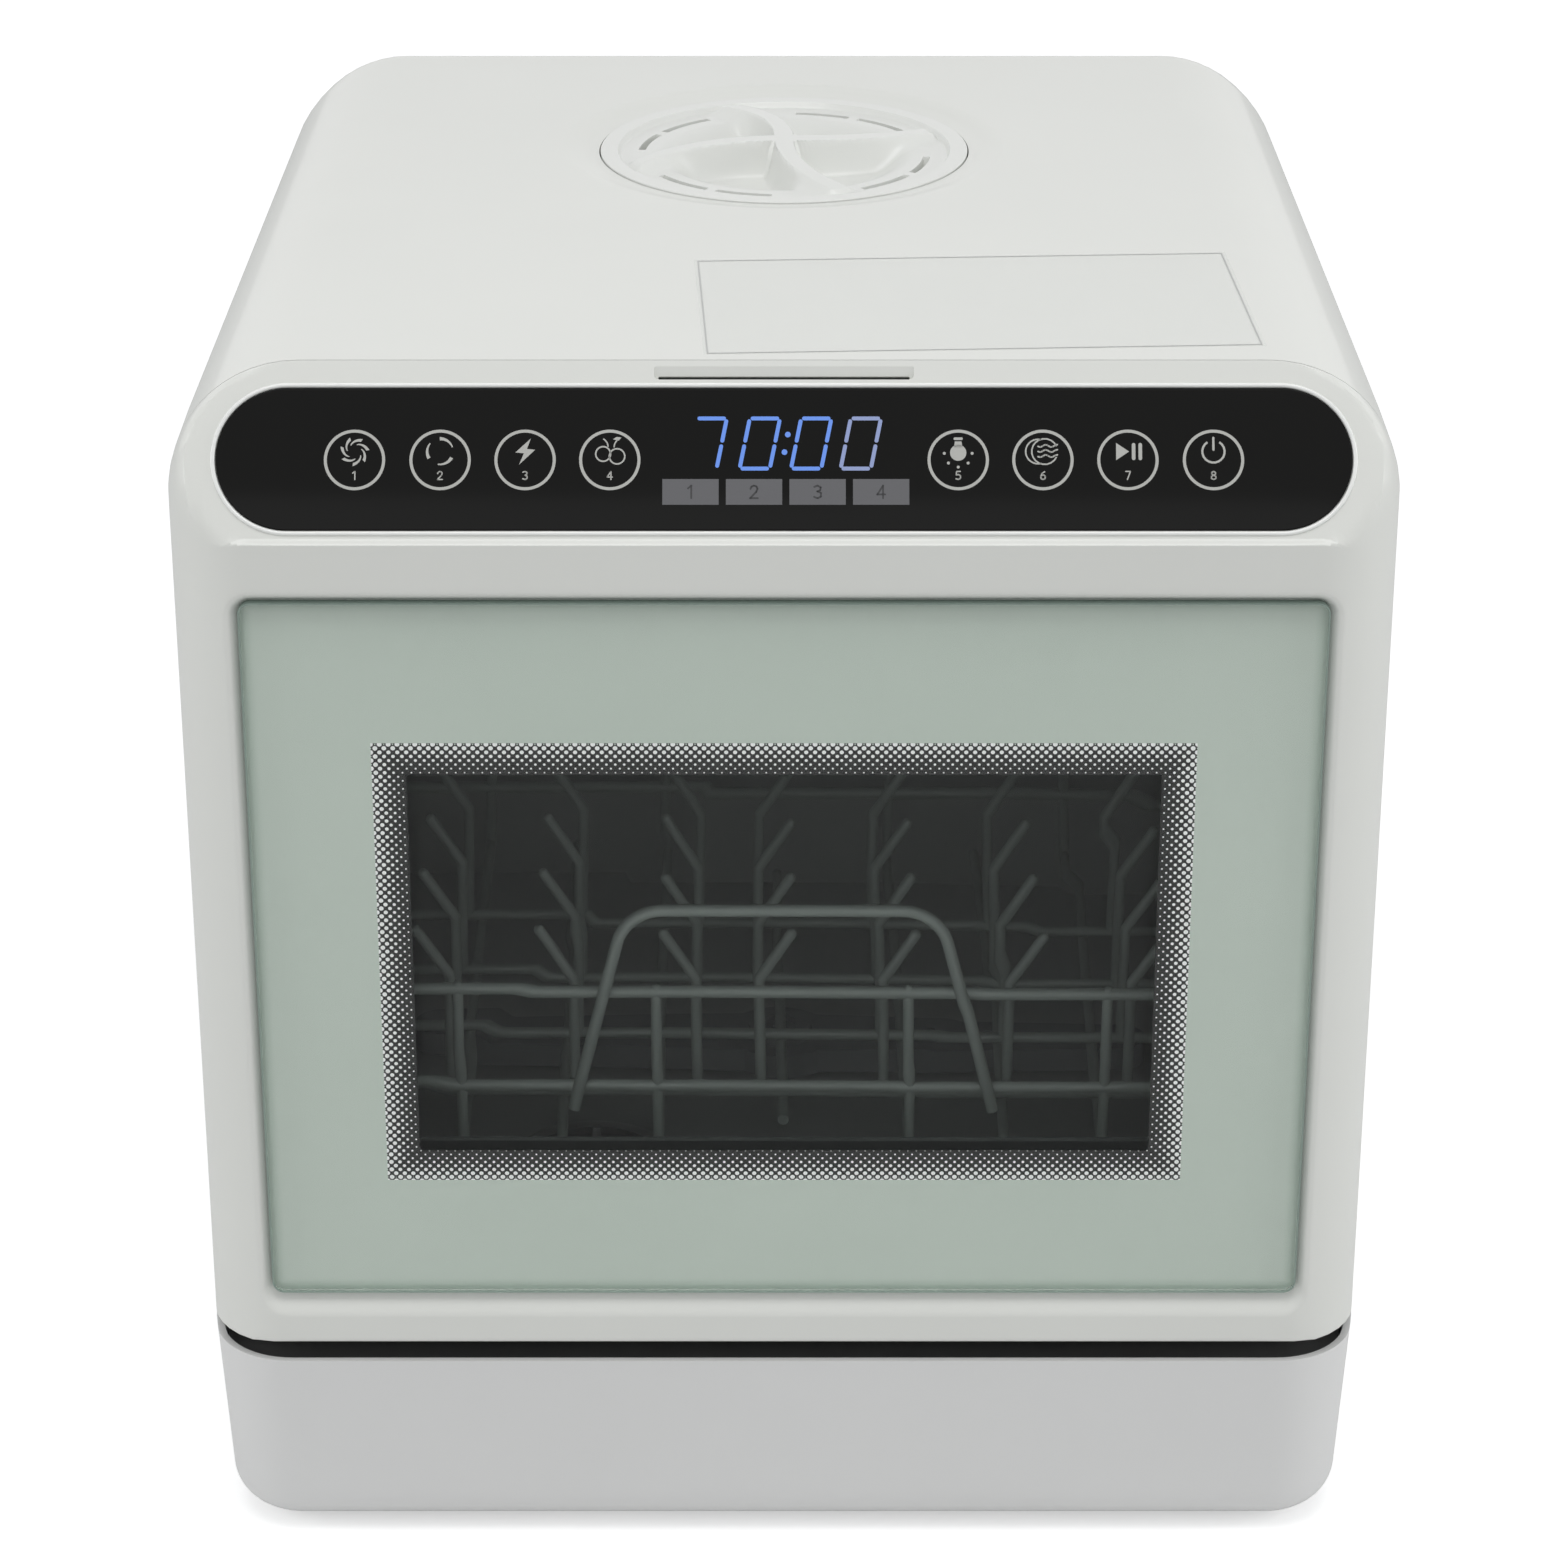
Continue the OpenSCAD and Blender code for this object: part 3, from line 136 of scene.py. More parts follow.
# %% Grid to mesh
NO_LENGTH = 1e-7  # metres: an edge this short is dropped
MOULD_SMOOTH = 32.0  # degrees: a sharper edge than this stays crisp on a moulding


def grid_quads(rows, cols, close_rows=False, close_cols=False):
    """Quads between neighbours of a grid; a closed side joins its end to its start."""
    r = np.arange(rows if close_rows else rows - 1)
    c = np.arange(cols if close_cols else cols - 1)
    r, c = np.meshgrid(r, c, indexing="ij")
    r2, c2 = (r + 1) % rows, (c + 1) % cols
    quads = np.stack([r * cols + c, r * cols + c2, r2 * cols + c2, r2 * cols + c], -1)
    return quads.reshape(-1, 4)


def ringed(rings):
    """Quads between closed rings whose last one joins the first, as on a wedding band."""
    return rings, grid_quads(*rings.shape[:2], close_rows=True, close_cols=True)


def make_piece(name, points, faces, material, body, smooth=40.0, slot=None, merge=1e-6):
    """A mesh object at the origin: doubles merged, normals outward, shaded smooth."""
    mesh = bpy.data.meshes.new(name)
    placed = (np.asarray(points, float).reshape(-1, 3) + (0.0, FRONT, 0.0)) * MM
    mesh.from_pydata(placed.tolist(), [], [tuple(f) for f in faces])
    work = bmesh.new()
    work.from_mesh(mesh)
    bmesh.ops.remove_doubles(work, verts=work.verts, dist=merge)
    bmesh.ops.dissolve_degenerate(work, edges=work.edges, dist=NO_LENGTH)
    bmesh.ops.recalc_face_normals(work, faces=work.faces)
    work.to_mesh(mesh)
    work.free()
    piece = bpy.data.objects.new(name, mesh)
    bpy.context.scene.collection.objects.link(piece)
    mesh.materials.append(material)
    mesh.shade_smooth()
    mesh.set_sharp_from_angle(angle=math.radians(smooth))
    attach(piece, body)
    print(name, "has", len(mesh.polygons), "faces")
    return piece


# %% [markdown]
# ## Camera, floor and light
#
# A product shot of a machine like this looks down at it from the front with a
# long lens, so that upright edges stay nearly parallel. The light is a pale
# studio: an even dome, one large soft lamp above, a weaker one in front and
# one on each side. Lamps alone could light the machine, but the dome fills
# their shadows as white studio walls do. The floor and the dome show near
# white to the camera, while what they send onto the plastic stays level, so
# the covers keep their own grey.

# %% Camera
CAMERA_HEIGHT, CAMERA_BACK, CAMERA_PITCH = 0.9395, 1.6336, 24.34
scene = bpy.context.scene
camera_data = bpy.data.cameras.new("studio_camera")
camera_data.lens = 105.1
camera_data.sensor_width = 36.0
camera_data.clip_end = 20.0
camera = bpy.data.objects.new("studio_camera", camera_data)
camera.location = (0.0, -CAMERA_BACK, CAMERA_HEIGHT)
camera.rotation_euler = (math.radians(90.0 - CAMERA_PITCH), 0.0, 0.0)
scene.collection.objects.link(camera)
scene.camera = camera
scene.view_settings.view_transform = "Standard"
print("camera looks down by", CAMERA_PITCH, "degrees")

# %% Dome
world = bpy.data.worlds.new("studio_dome")
scene.world = world
world.use_nodes = True
sky = world.node_tree
sky.nodes.clear()
ray = add_node(sky, "LightPath")
# white where the camera looks straight, through glass or off a gloss: 1 for those rays
seen = ray.outputs["Is Camera Ray"]
for kind in ("Is Transmission Ray", "Is Glossy Ray"):
    seen = add_node(sky, "Math", {0: seen, 1: ray.outputs[kind]}, operation="MAXIMUM").outputs[0]
# a ray that has already met a matt surface carries light, so it gets the level
direct = add_node(sky, "Math", {0: ray.outputs["Diffuse Depth"], 1: 0.5}, operation="LESS_THAN")
seen = add_node(sky, "Math", {0: seen, 1: direct.outputs[0]}, operation="MULTIPLY")
level = add_node(sky, "Background", {"Color": linear("#f4f6f8"), "Strength": 0.415})
white = add_node(sky, "Background", {"Color": (1, 1, 1, 1), "Strength": 1.0})
mixed = add_node(sky, "MixShader", {0: seen.outputs[0], 1: level.outputs[0], 2: white.outputs[0]})
add_node(sky, "OutputWorld", {"Surface": mixed.outputs[0]})
print("dome nodes:", len(sky.nodes))

# %% Lamps: name, place, aim and size in metres, power in watts
for name, place, aim, size, watts in (
    ("overhead_lamp", (0.0, -0.6, 2.1), (0.0, -0.05, 0.3), (1.6, 1.0), 14.6),
    ("front_lamp", (-0.1, -2.2, 1.25), (0.0, 0.0, 0.25), (1.8, 0.8), 2.6),
    ("left_fill_lamp", (-2.2, -0.4, 0.9), (0.0, 0.0, 0.2), (1.0, 1.2), 9.0),
    ("right_fill_lamp", (2.2, -0.4, 0.9), (0.0, 0.0, 0.2), (1.0, 1.2), 11.5),
):
    light = bpy.data.lights.new(name, "AREA")
    light.shape = "RECTANGLE"
    light.size, light.size_y = size
    light.energy = watts
    lamp = bpy.data.objects.new(name, light)
    lamp.location = place
    lamp.rotation_euler = (Vector(aim) - Vector(place)).to_track_quat("-Z", "Y").to_euler()
    scene.collection.objects.link(lamp)
    print(name, watts, "W")

# %% Floor
REACH = 6.0  # metres from the middle to each edge
floor_finish, tree = new_material("white_floor")
matt = add_node(tree, "BsdfDiffuse", {"Color": linear("#f6f6f6")})
# the camera also sees a glow that grows away from the machine, so its shadow fades out
place = add_node(tree, "TexCoord").outputs["Object"]
away = add_node(tree, "VectorMath", {0: place}, operation="LENGTH").outputs["Value"]
lift = add_node(tree, "MapRange", {"Value": away, "From Min": 0.7, "From Max": 3.0,
    "To Min": 0.45, "To Max": 0.85}).outputs[0]
camera_ray = add_node(tree, "LightPath").outputs["Is Camera Ray"]
lift = add_node(tree, "Math", {0: camera_ray, 1: lift}, operation="MULTIPLY").outputs[0]
shine = add_node(tree, "Emission", {"Color": (1, 1, 1, 1), "Strength": lift})
both = add_node(tree, "AddShader", {0: matt.outputs[0], 1: shine.outputs[0]})
add_node(tree, "OutputMaterial", {"Surface": both.outputs[0]})
floor_mesh = bpy.data.meshes.new("studio_floor")
corners = [(-REACH, -REACH, 0), (REACH, -REACH, 0), (REACH, REACH, 0), (-REACH, REACH, 0)]
floor_mesh.from_pydata(corners, [], [(0, 1, 2, 3)])
floor_mesh.materials.append(floor_finish)
floor = bpy.data.objects.new("studio_floor", floor_mesh)
scene.collection.objects.link(floor)

# %% [markdown]
# ## Finishes
#
# Each finish starts from its real substance. Moulded covers have a spark-eroded
# grain of about 0.45 mm: too fine to see as bumps from here, it spreads the
# gloss a little. Real mouldings also vary by a percent or two in tone over
# several centimetres. A flat colour would look painted on; two noises, a slow
# one and a fine one, look moulded. The recipe is the same for all plastics, so
# it is one function with colour, roughness and grain as its choices.

# %% The recipe for plastics
DRIFT = 0.06  # metres over which the tone drifts


def moulded(name, code, roughness, grain_mm=0.45, grain=0.05, tone=0.015, coat=0.0):
    """Moulded plastic: base tone, slow tone drift, fine grain in bump and gloss."""
    material, tree = new_material(name)
    place = add_node(tree, "TexCoord").outputs["Object"]
    drift = add_node(tree, "TexNoise", {"Vector": place, "Scale": 1 / DRIFT, "Detail": 2.0})
    low = tuple(v * (1 - 2 * tone) for v in linear(code)[:3]) + (1.0,)
    # a colour mix has its factor in socket 0 and its two colours in 6 and 7
    colour = add_node(tree, "Mix", {0: drift.outputs["Fac"], 6: low, 7: linear(code)},
        data_type="RGBA")
    speck = add_node(tree, "TexNoise", {"Vector": place, "Scale": 1 / (grain_mm * MM),
        "Detail": 3.0, "Roughness": 0.6}).outputs["Fac"]
    gloss = add_node(tree, "MapRange", {"Value": speck, "To Min": roughness - 0.04,
        "To Max": roughness + 0.05})
    bump = add_node(tree, "Bump", {"Height": speck, "Strength": grain,
        "Distance": grain_mm * MM})
    skin = add_node(tree, "BsdfPrincipled", {"Base Color": colour.outputs[2],
        "Roughness": gloss.outputs[0], "IOR": 1.5, "Normal": bump.outputs[0],
        "Coat Weight": coat, "Coat Roughness": 0.08})
    add_node(tree, "OutputMaterial", {"Surface": skin.outputs[0]})
    return material


# %% Plastics of the covers
# satin white with a thin polished skin: broad soft highlights on the round corners
cover_abs = moulded("white_abs_satin_moulded", "#e6e7e2", 0.36, coat=0.25)
# a shade greyer and flatter, so the base reads as a part of its own
base_abs = moulded("pale_grey_abs_moulded", "#e4e4e3", 0.42, coat=0.1)
# a little glossier than the cover round it, and painted a shade lighter: painted light that offsets
# the shade in its dish
lid_abs = moulded("white_abs_lid_moulded", "#e8e9e5", 0.34, coat=0.25)
# milky with a sheen: the rotors, the float and the pin of the door's switch
acetal = moulded("natural_acetal_machined", "#e8e2d2", 0.4, grain=0.04)
# waxy and cool white: the tank behind the chamber
natural_pp = moulded("natural_polypropylene_blow_moulded", "#dfe3e4", 0.38, grain=0.06)

# %% Plastics of the chamber and the works
# soft, with a visible grain: the chamber behind the glass; its dark grey plastic is painted a
# middle grey, painted light for the light that reaches in through the door
chamber_pp = moulded("dark_grey_polypropylene_moulded", "#a0a2a1", 0.46, grain=0.12)
# darker, so the door's inside frames the window
liner_pp = moulded("grey_polypropylene_moulded", "#505352", 0.5, grain=0.1)
# near black and dull: the door's switch, the two spouts and the cord's gland
black_pp = moulded("black_polypropylene_moulded", "#2b2b2b", 0.5, grain=0.1)
# the tray in the gap under the door is black plastic; its charcoal grey is painted light, standing
# in for the light that still reaches it in the gap
sill_pp_painted_light = moulded("black_polypropylene_painted_light", "#5c5c5c", 0.5, grain=0.1)
# coarse glass-filled black, almost without gloss
pump_nylon = moulded("black_glass_filled_nylon_moulded", "#242528", 0.55, grain=0.18,
    grain_mm=0.8)
# plain technical grey
grey_pp = moulded("mid_grey_polypropylene_moulded", "#7d8081", 0.46, grain=0.08)
# pale and smooth, warmer than the covers: the lamp's lens
lens_pc = moulded("frosted_polycarbonate_moulded", "#f4f0dd", 0.3, grain=0.02)
# dull black that swallows light, mottled by handling
rubber_epdm = moulded("black_epdm_rubber_moulded", "#1d1d1d", 0.78, grain_mm=0.7,
    grain=0.2, tone=0.06)
# the dip leaves a slightly lumpy grey skin with a soft gloss on the wires
wire_nylon = moulded("grey_nylon_dip_coat", "#a4aba7", 0.42, grain_mm=0.9, grain=0.06,
    tone=0.05, coat=0.2)
# glossy deep green lacquer over the tracks
solder_mask = moulded("green_solder_mask", "#14502b", 0.35, grain_mm=0.6, grain=0.1,
    tone=0.08)

# %% [markdown]
# ## Metals
#
# Hinges, rails and screws are zinc-plated steel: a pale metal with a faint
# rolled grain along its length. Single scratches could be drawn, but from here
# they melt together, so a noise squeezed in one direction stands for them, in
# the gloss and the bump.

# %% Plated and stainless steel
STREAK = 0.01  # metres: the length of a streak; it is squeezed across the grain


def rolled_metal(name, code, roughness, squeeze):
    """Rolled metal: noise squeezed across the rolling direction varies the gloss."""
    material, tree = new_material(name)
    place = add_node(tree, "TexCoord").outputs["Object"]
    place = add_node(tree, "Mapping", {"Vector": place, "Scale": (1.0, 1.0, squeeze)})
    streak = add_node(tree, "TexNoise", {"Vector": place.outputs[0], "Scale": 1 / STREAK,
        "Detail": 4.0}).outputs["Fac"]
    gloss = add_node(tree, "MapRange", {"Value": streak, "To Min": roughness - 0.08,
        "To Max": roughness + 0.1})
    bump = add_node(tree, "Bump", {"Height": streak, "Strength": 0.05, "Distance": 0.1 * MM})
    skin = add_node(tree, "BsdfPrincipled", {"Base Color": linear(code), "Metallic": 1.0,
        "Roughness": gloss.outputs[0], "Normal": bump.outputs[0]})
    add_node(tree, "OutputMaterial", {"Surface": skin.outputs[0]})
    return material


# pale and cool, with highlights that smear across the streaks
plated_steel = rolled_metal("zinc_plated_steel_rolled", "#c4c6c8", 0.34, 40.0)
# a touch darker, its gloss even in all directions
stainless_mesh = rolled_metal("stainless_steel_pressed", "#b9babb", 0.3, 1.0)

# %% [markdown]
# ## Glass
#
# The door has a toughened pane outside and a smoked one inside. Smooth glass
# bends lamp light, which would leave what lies behind it dark in a path
# tracer. A brighter lamp would burn out the covers, so lamp rays pass straight
# through as tinted light, and only the eye sees real glass.

# %% Clear panes


def pane(name, code, passed, ior):
    """Polished glass for the eye, tinted clear film for lamp rays."""
    material, tree = new_material(name)
    shadow_ray = add_node(tree, "LightPath").outputs["Is Shadow Ray"]
    glass = add_node(tree, "BsdfPrincipled", {"Base Color": linear(code), "Roughness": 0.02,
        "IOR": ior, "Transmission Weight": 1.0})
    clear = add_node(tree, "BsdfTransparent", {"Color": linear(passed)})
    pick = add_node(tree, "MixShader", {0: shadow_ray, 1: glass.outputs[0],
        2: clear.outputs[0]})
    add_node(tree, "OutputMaterial", {"Surface": pick.outputs[0]})
    return material


# almost invisible; an IOR below real glass's 1.5 keeps mirror images of the lamps faint
front_pane = pane("toughened_clear_glass_float", "#fdfefd", "#fbfdfc", 1.22)
# dims what is behind it a little, with hardly a mirror image
smoked_pane = pane("smoked_polycarbonate_pane", "#eceeed", "#dfe3e1", 1.12)

# %% [markdown]
# ## The outer form
#
# Seen from the front, the body is an arch: straight sides, a flat top and two
# round shoulders. Every moulded cover is a stack of such arches, one behind
# the other, each drawn in a little where the form rounds away. That gives the
# soft double-curved corners of a moulding, which flat outlines cut from each
# other would leave as hard creases.

# %% Arches and loops
SIDE, ACROSS = 22, 40  # points along an upright and along a crossing line


def corner(cx, cz, radius, start, steps=14):
    """Quarter circle (cx + r cos a, cz + r sin a) from start, a falling by 90 degrees."""
    a = np.radians(np.linspace(start, start - 90.0, steps))
    return np.stack([cx + radius * np.cos(a), cz + radius * np.sin(a)], -1)


def run(a, b, steps, dense_ends=False):
    """Points between two corners: even, or spaced by (1 - cos pi t)/2, close at the ends."""
    t = np.linspace(0, 1, steps + 2)[1:-1, None]
    t = (1 - np.cos(np.pi * t)) / 2 if dense_ends else t
    return np.asarray(a) * (1 - t) + np.asarray(b) * t


def linked(corners, steps, dense_ends=(False,) * 4):
    """Closed outline of four corners, each followed by the points of the line to the next."""
    parts = []
    for i, here in enumerate(corners):
        parts += [here, run(here[-1], corners[(i + 1) % 4][0], steps[i], dense_ends[i])]
    return np.concatenate(parts)


def loop(half, top, foot, r_top, r_foot, side=SIDE, across=ACROSS):
    """Rounded rectangle: over the top, down the right side, along the foot, up the left side."""
    corners = [corner(-half + r_top, top - r_top, r_top, 180.0),
        corner(half - r_top, top - r_top, r_top, 90.0),
        corner(half - r_foot, foot + r_foot, r_foot, 0.0),
        corner(-half + r_foot, foot + r_foot, r_foot, -90.0)]
    return linked(corners, (across, side, across, side), (False, False, True, False))


def arch(half, top, foot, radius):
    """Open arch from the left foot over the top to the right foot."""
    left, right = (-half, foot), (half, foot)
    up = corner(-half + radius, top - radius, radius, 180.0)
    down = corner(half - radius, top - radius, radius, 90.0)
    return np.concatenate([[left], run(left, up[0], SIDE), up, run(up[-1], down[0], ACROSS),
        down, run(down[-1], right, SIDE), [right]])


def at_depth(xz, y):
    """Points (x, y, z) of an outline at one depth, or at a depth per point."""
    return np.stack([xz[:, 0], np.broadcast_to(y, len(xz)), xz[:, 1]], -1)


print("a loop has", len(loop(9.0, 9.0, 0.0, 1.0, 1.0)), "points")

# %% [markdown]
# ## Door front
#
# The door is one moulding: a flat front, a panel that slopes back to the top
# edge, round upright corners, and a tapered recess that holds the glass. Boxes
# with bevels could be joined for it, but their corners would show seams. So
# its front is a height field: for a point (x, z) it says how far back the
# surface lies. The round corners and the slope are two such fields, and a
# smooth maximum blends them where they meet, as the mould maker's ball cutter
# does. Loops then shrink from the silhouette to the recess on that field.

# %% Depth of the door's face
FOOT_R = 3.0
STEP_UP, STEP_SLOPE = 0.2, 2.2


def smooth_max(a, b, k):
    """Largest of a and b, the kink rounded: max + k h^3 / 6, h = max(1 - |a - b|/k, 0)."""
    h = np.clip(1 - np.abs(a - b) / k, 0, None)
    return np.maximum(a, b) + h ** 3 * k / 6


def step(x, low, high):
    """Smooth step: 0 below low, 1 above high, 3t^2 - 2t^3 between."""
    t = np.clip((x - low) / (high - low), 0, 1)
    return t * t * (3 - 2 * t)


def face_depth(x, z):
    """How far the face lies behind the front plane: r - sqrt(r^2 - (r - d)^2) at d from an edge."""
    # distance to the arch's edge, which a quarter circle of FRONT_R rolls over
    cx, cz = np.abs(x) - (HALF_W - TOP_R), z - (BODY_H - TOP_R)
    round_in = TOP_R - np.hypot(np.maximum(cx, 0), np.maximum(cz, 0))
    edge = np.where(cz > 0, np.where(cx > 0, round_in, BODY_H - z), HALF_W - np.abs(x))
    edge = np.clip(edge, 0, FRONT_R)
    rolled = FRONT_R - np.sqrt(np.clip(FRONT_R ** 2 - (FRONT_R - edge) ** 2, 0, None))
    foot = np.clip(z - DOOR_BOTTOM, 0, FOOT_R)
    under = FOOT_R - np.sqrt(np.clip(FOOT_R ** 2 - (FOOT_R - foot) ** 2, 0, None))
    # the slope ends at its foot in a small step, drawn by a steeper line
    slope = PANEL_FOOT_Y + (z - PANEL_FOOT_Z) * PANEL_RUN / PANEL_RISE
    slope = np.minimum(slope, (z - PANEL_FOOT_Z - STEP_UP) * STEP_SLOPE)
    # the step is crisp on the flat and softens towards the round corners
    band = 0.7 + 2.5 * step(rolled, 0.1, 2.0)
    face = smooth_max(np.maximum(rolled, under), slope, band)
    return np.minimum(face, SEAM_Y - 0.3)


def on_face(outline):
    """An outline laid on the door's face."""
    return at_depth(outline, face_depth(outline[:, 0], outline[:, 1]))


print("the panel's head lies back by", round(float(face_depth(0.0, BODY_H - 1.0)), 1), "mm")

# %% Door outlines
RIM_SIDE, RIM_FOOT, SHOULDER, MOUTH_R = 3.8, 7.9, 1.3, 9.6
LAST_ROLL = 17.5
rim = dict(half=GLASS_W / 2 + RIM_SIDE, top=GLASS_Z + GLASS_H + RIM_SIDE, foot=GLASS_Z - RIM_FOOT)
last = dict(half=rim["half"] + SHOULDER, top=rim["top"] + SHOULDER, foot=rim["foot"] - SHOULDER)


def door_outline(t, inset=0.0):
    """Loop from silhouette (t = 0) to recess (t = 1), spaced like a rolling angle at the sides."""
    roll = np.radians(90.0 - (90.0 - LAST_ROLL) * t)
    drawn = (1 - np.sin(roll)) / (1 - np.sin(np.radians(LAST_ROLL)))
    half = HALF_W - (HALF_W - last["half"]) * drawn
    top = BODY_H + (last["top"] - BODY_H) * t
    # the foot follows late, so the first loops crowd on the edge that rolls under
    foot = DOOR_BOTTOM + (last["foot"] - DOOR_BOTTOM) * t ** 1.6
    r_top = TOP_R + (MOUTH_R - TOP_R) * t - inset * (1 - t)
    return loop(half - inset, top - inset, foot + inset, r_top, 1.0 + (MOUTH_R - 1.0) * t)


def pane_loop(grow, radius):
    """Outline of the glass, larger all round by grow."""
    return loop(GLASS_W / 2 + grow, GLASS_Z + GLASS_H + grow, GLASS_Z - grow, radius, radius)


# %% Door moulding: the face
STATIONS = 44
# stations crowd at the crease where the slope begins, so that its step stays sharp
crease = (BODY_H - PANEL_FOOT_Z) / (BODY_H - last["top"])
stations = np.concatenate([[0.0], np.linspace(0, 1, STATIONS) ** 1.15,
    np.linspace(crease - 0.03, crease + 0.01, 9)])
rings = [on_face(door_outline(t)) for t in np.sort(stations)]
rings[0] = at_depth(door_outline(0.0), SEAM_Y)
print("rings of the face:", len(rings))

# %% Door moulding: recess, opening and back
LEDGE_Y, PLATE_Y, DOOR_WALL = 5.0, 8.0, 3.0
OPENING_HALF, OPENING_UP, OPENING_R = 146.0, 90.0, 12
# the recess: a shoulder rounded by the curve (1 - t)^2 a + 2 t (1 - t) b + t^2 c, and a ledge
start = on_face(door_outline(1.0))
bend = on_face(loop(rim["half"], rim["top"], rim["foot"], 8, 8))
ledge = at_depth(pane_loop(0.4, 4.6), LEDGE_Y)
taper = bend + (ledge - bend) * 0.45
for t in np.linspace(0, 1, 7)[1:]:
    rings.append((1 - t) ** 2 * start + 2 * t * (1 - t) * bend + t ** 2 * taper)
opening = loop(OPENING_HALF, GLASS_MID + OPENING_UP, GLASS_MID - OPENING_UP, OPENING_R, OPENING_R)
rings += [ledge, at_depth(opening, LEDGE_Y), at_depth(opening, PLATE_Y)]
for t in np.linspace(1, 0, 12):
    back = np.clip(on_face(door_outline(t))[:, 1] + DOOR_WALL, PLATE_Y, SEAM_Y)
    rings.append(at_depth(door_outline(t, DOOR_WALL), back))
rings.append(at_depth(door_outline(0.0, DOOR_WALL), SEAM_Y))
door_front = make_piece("door_moulding", *ringed(np.array(rings)), cover_abs, "door",
    smooth=MOULD_SMOOTH, slot="white_shell")
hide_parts("door_front")

# %% [markdown]
# ## Cutting notches and slots
#
# Slots and notches are cut from the finished moulding, as a side action in
# the mould would form them. Working them into the grid would bend its rows,
# while a Boolean leaves them straight, and it is safe on closed meshes. It is
# applied at once, so what is left is a plain mesh.

# %% Boolean cut


def block(low, high):
    """The eight corners and six faces of a box."""
    x, y, z = np.meshgrid([0, 1], [0, 1], [0, 1], indexing="ij")
    unit = np.stack([x, y, z], -1).reshape(-1, 3)
    faces = [(0, 1, 3, 2), (4, 6, 7, 5), (0, 4, 5, 1), (2, 3, 7, 6), (0, 2, 6, 4), (1, 5, 7, 3)]
    return np.asarray(low) + unit * (np.asarray(high) - np.asarray(low)), faces


def cut(piece, shapes):
    """Cuts shapes, given as (points, faces), out of a piece one after the other."""
    for points, faces in shapes:
        cutter = make_piece("cutter", points, faces, piece.data.materials[0], "body")
        tool = piece.modifiers.new("cut", "BOOLEAN")
        tool.operation = "DIFFERENCE"
        tool.solver = "EXACT"
        tool.object = cutter
        bpy.context.view_layer.update()
        depsgraph = bpy.context.evaluated_depsgraph_get()
        done = bpy.data.meshes.new_from_object(piece.evaluated_get(depsgraph))
        piece.modifiers.clear()
        piece.data = done
        bpy.data.objects.remove(cutter)
    done.shade_smooth()
    done.set_sharp_from_angle(angle=math.radians(MOULD_SMOOTH))
    print(piece.name, "after", len(shapes), "cuts:", len(done.polygons), "faces")


# %% Shapes that lie on the sloping panel


def on_panel(points):
    """Moves points (across, up the slope, out of it) onto the sloping panel."""
    p = np.asarray(points, float).reshape(-1, 3)
    c, s = math.cos(PANEL_LEAN), math.sin(PANEL_LEAN)
    y = PANEL_FOOT_Y + p[:, 1] * s - p[:, 2] * c
    z = PANEL_FOOT_Z + p[:, 1] * c + p[:, 2] * s
    return np.stack([p[:, 0], y, z], -1)


def capped(rings):
    """Quads between closed rings, and one flat face over each end."""
    rows, n = rings.shape[:2]
    ends = [tuple(reversed(range(n))), tuple(range((rows - 1) * n, rows * n))]
    return rings.reshape(-1, 3), grid_quads(rows, n, close_cols=True).tolist() + ends


def stadium(length, height, steps=40):
    """Closed outline of a straight bar with half-round ends."""
    a = np.linspace(-np.pi / 2, np.pi / 2, steps)
    r = height / 2
    right = np.stack([length / 2 - r + r * np.cos(a), r * np.sin(a)], -1)
    return np.concatenate([right, -right])


def plate(outline, low, high, edge=0.0):
    """A plate between two heights, its upper edge rounded by a quarter circle of radius edge."""
    line = np.asarray(outline, float)
    after = np.roll(line, -1, 0)
    tangent = after - np.roll(line, 1, 0)
    normal = np.stack([tangent[:, 1], -tangent[:, 0]], -1)
    normal /= np.maximum(np.linalg.norm(normal, axis=1, keepdims=True), 1e-9)
    # the sign of the outline's area says on which side its inside lies
    normal *= np.sign(np.sum(line[:, 0] * after[:, 1] - after[:, 0] * line[:, 1]))
    rings = [np.column_stack([line, np.full(len(line), low)])]
    for a in np.linspace(0, np.pi / 2, 5 if edge else 1):
        height = np.full(len(line), high - edge + edge * math.sin(a))
        rings.append(np.column_stack([line - normal * edge * (1 - math.cos(a)), height]))
    return capped(np.array(rings))


# %% Pull slot and notches of the door
SLOT_W, SLOT_H, SLOT_TOP, SLOT_DEEP = 86.0, 4.4, PANEL_LEN - 1.9, 1.7
SLIT_H, SLIT_UP, CLEAR = 1.0, 0.75, 3.0
ARM_X, ARM_HALF = 181.5, 4.5
# a scooped pocket whose floor sinks from its upper edge, and a narrow slit along its foot
scoop = loop(SLOT_W / 2, SLOT_TOP, SLOT_TOP - SLOT_H, 0.6, 1.6, side=2, across=2)
sunk = -SLOT_DEEP * (SLOT_TOP - scoop[:, 1]) / SLOT_H - 0.02
pocket, pocket_faces = capped(np.array([np.column_stack([scoop, sunk]),
    np.column_stack([scoop, np.full(len(scoop), CLEAR)])]))
slit = stadium(SLOT_W - 2.6, SLIT_H) + (0.0, SLOT_TOP - SLOT_H + SLIT_UP)
slit, slit_faces = plate(slit, -7.0, CLEAR)
# room for the two hinge arms, and for the rim of the base behind the door's foot
arms = [block((x - ARM_HALF, 3.5, 80), (x + ARM_HALF, 34, 97.2)) for x in (-ARM_X, ARM_X)]
rebate = block((-198, 22, 80), (198, 34, 89))
cut(door_front, [(on_panel(pocket), pocket_faces), (on_panel(slit), slit_faces), *arms, rebate])

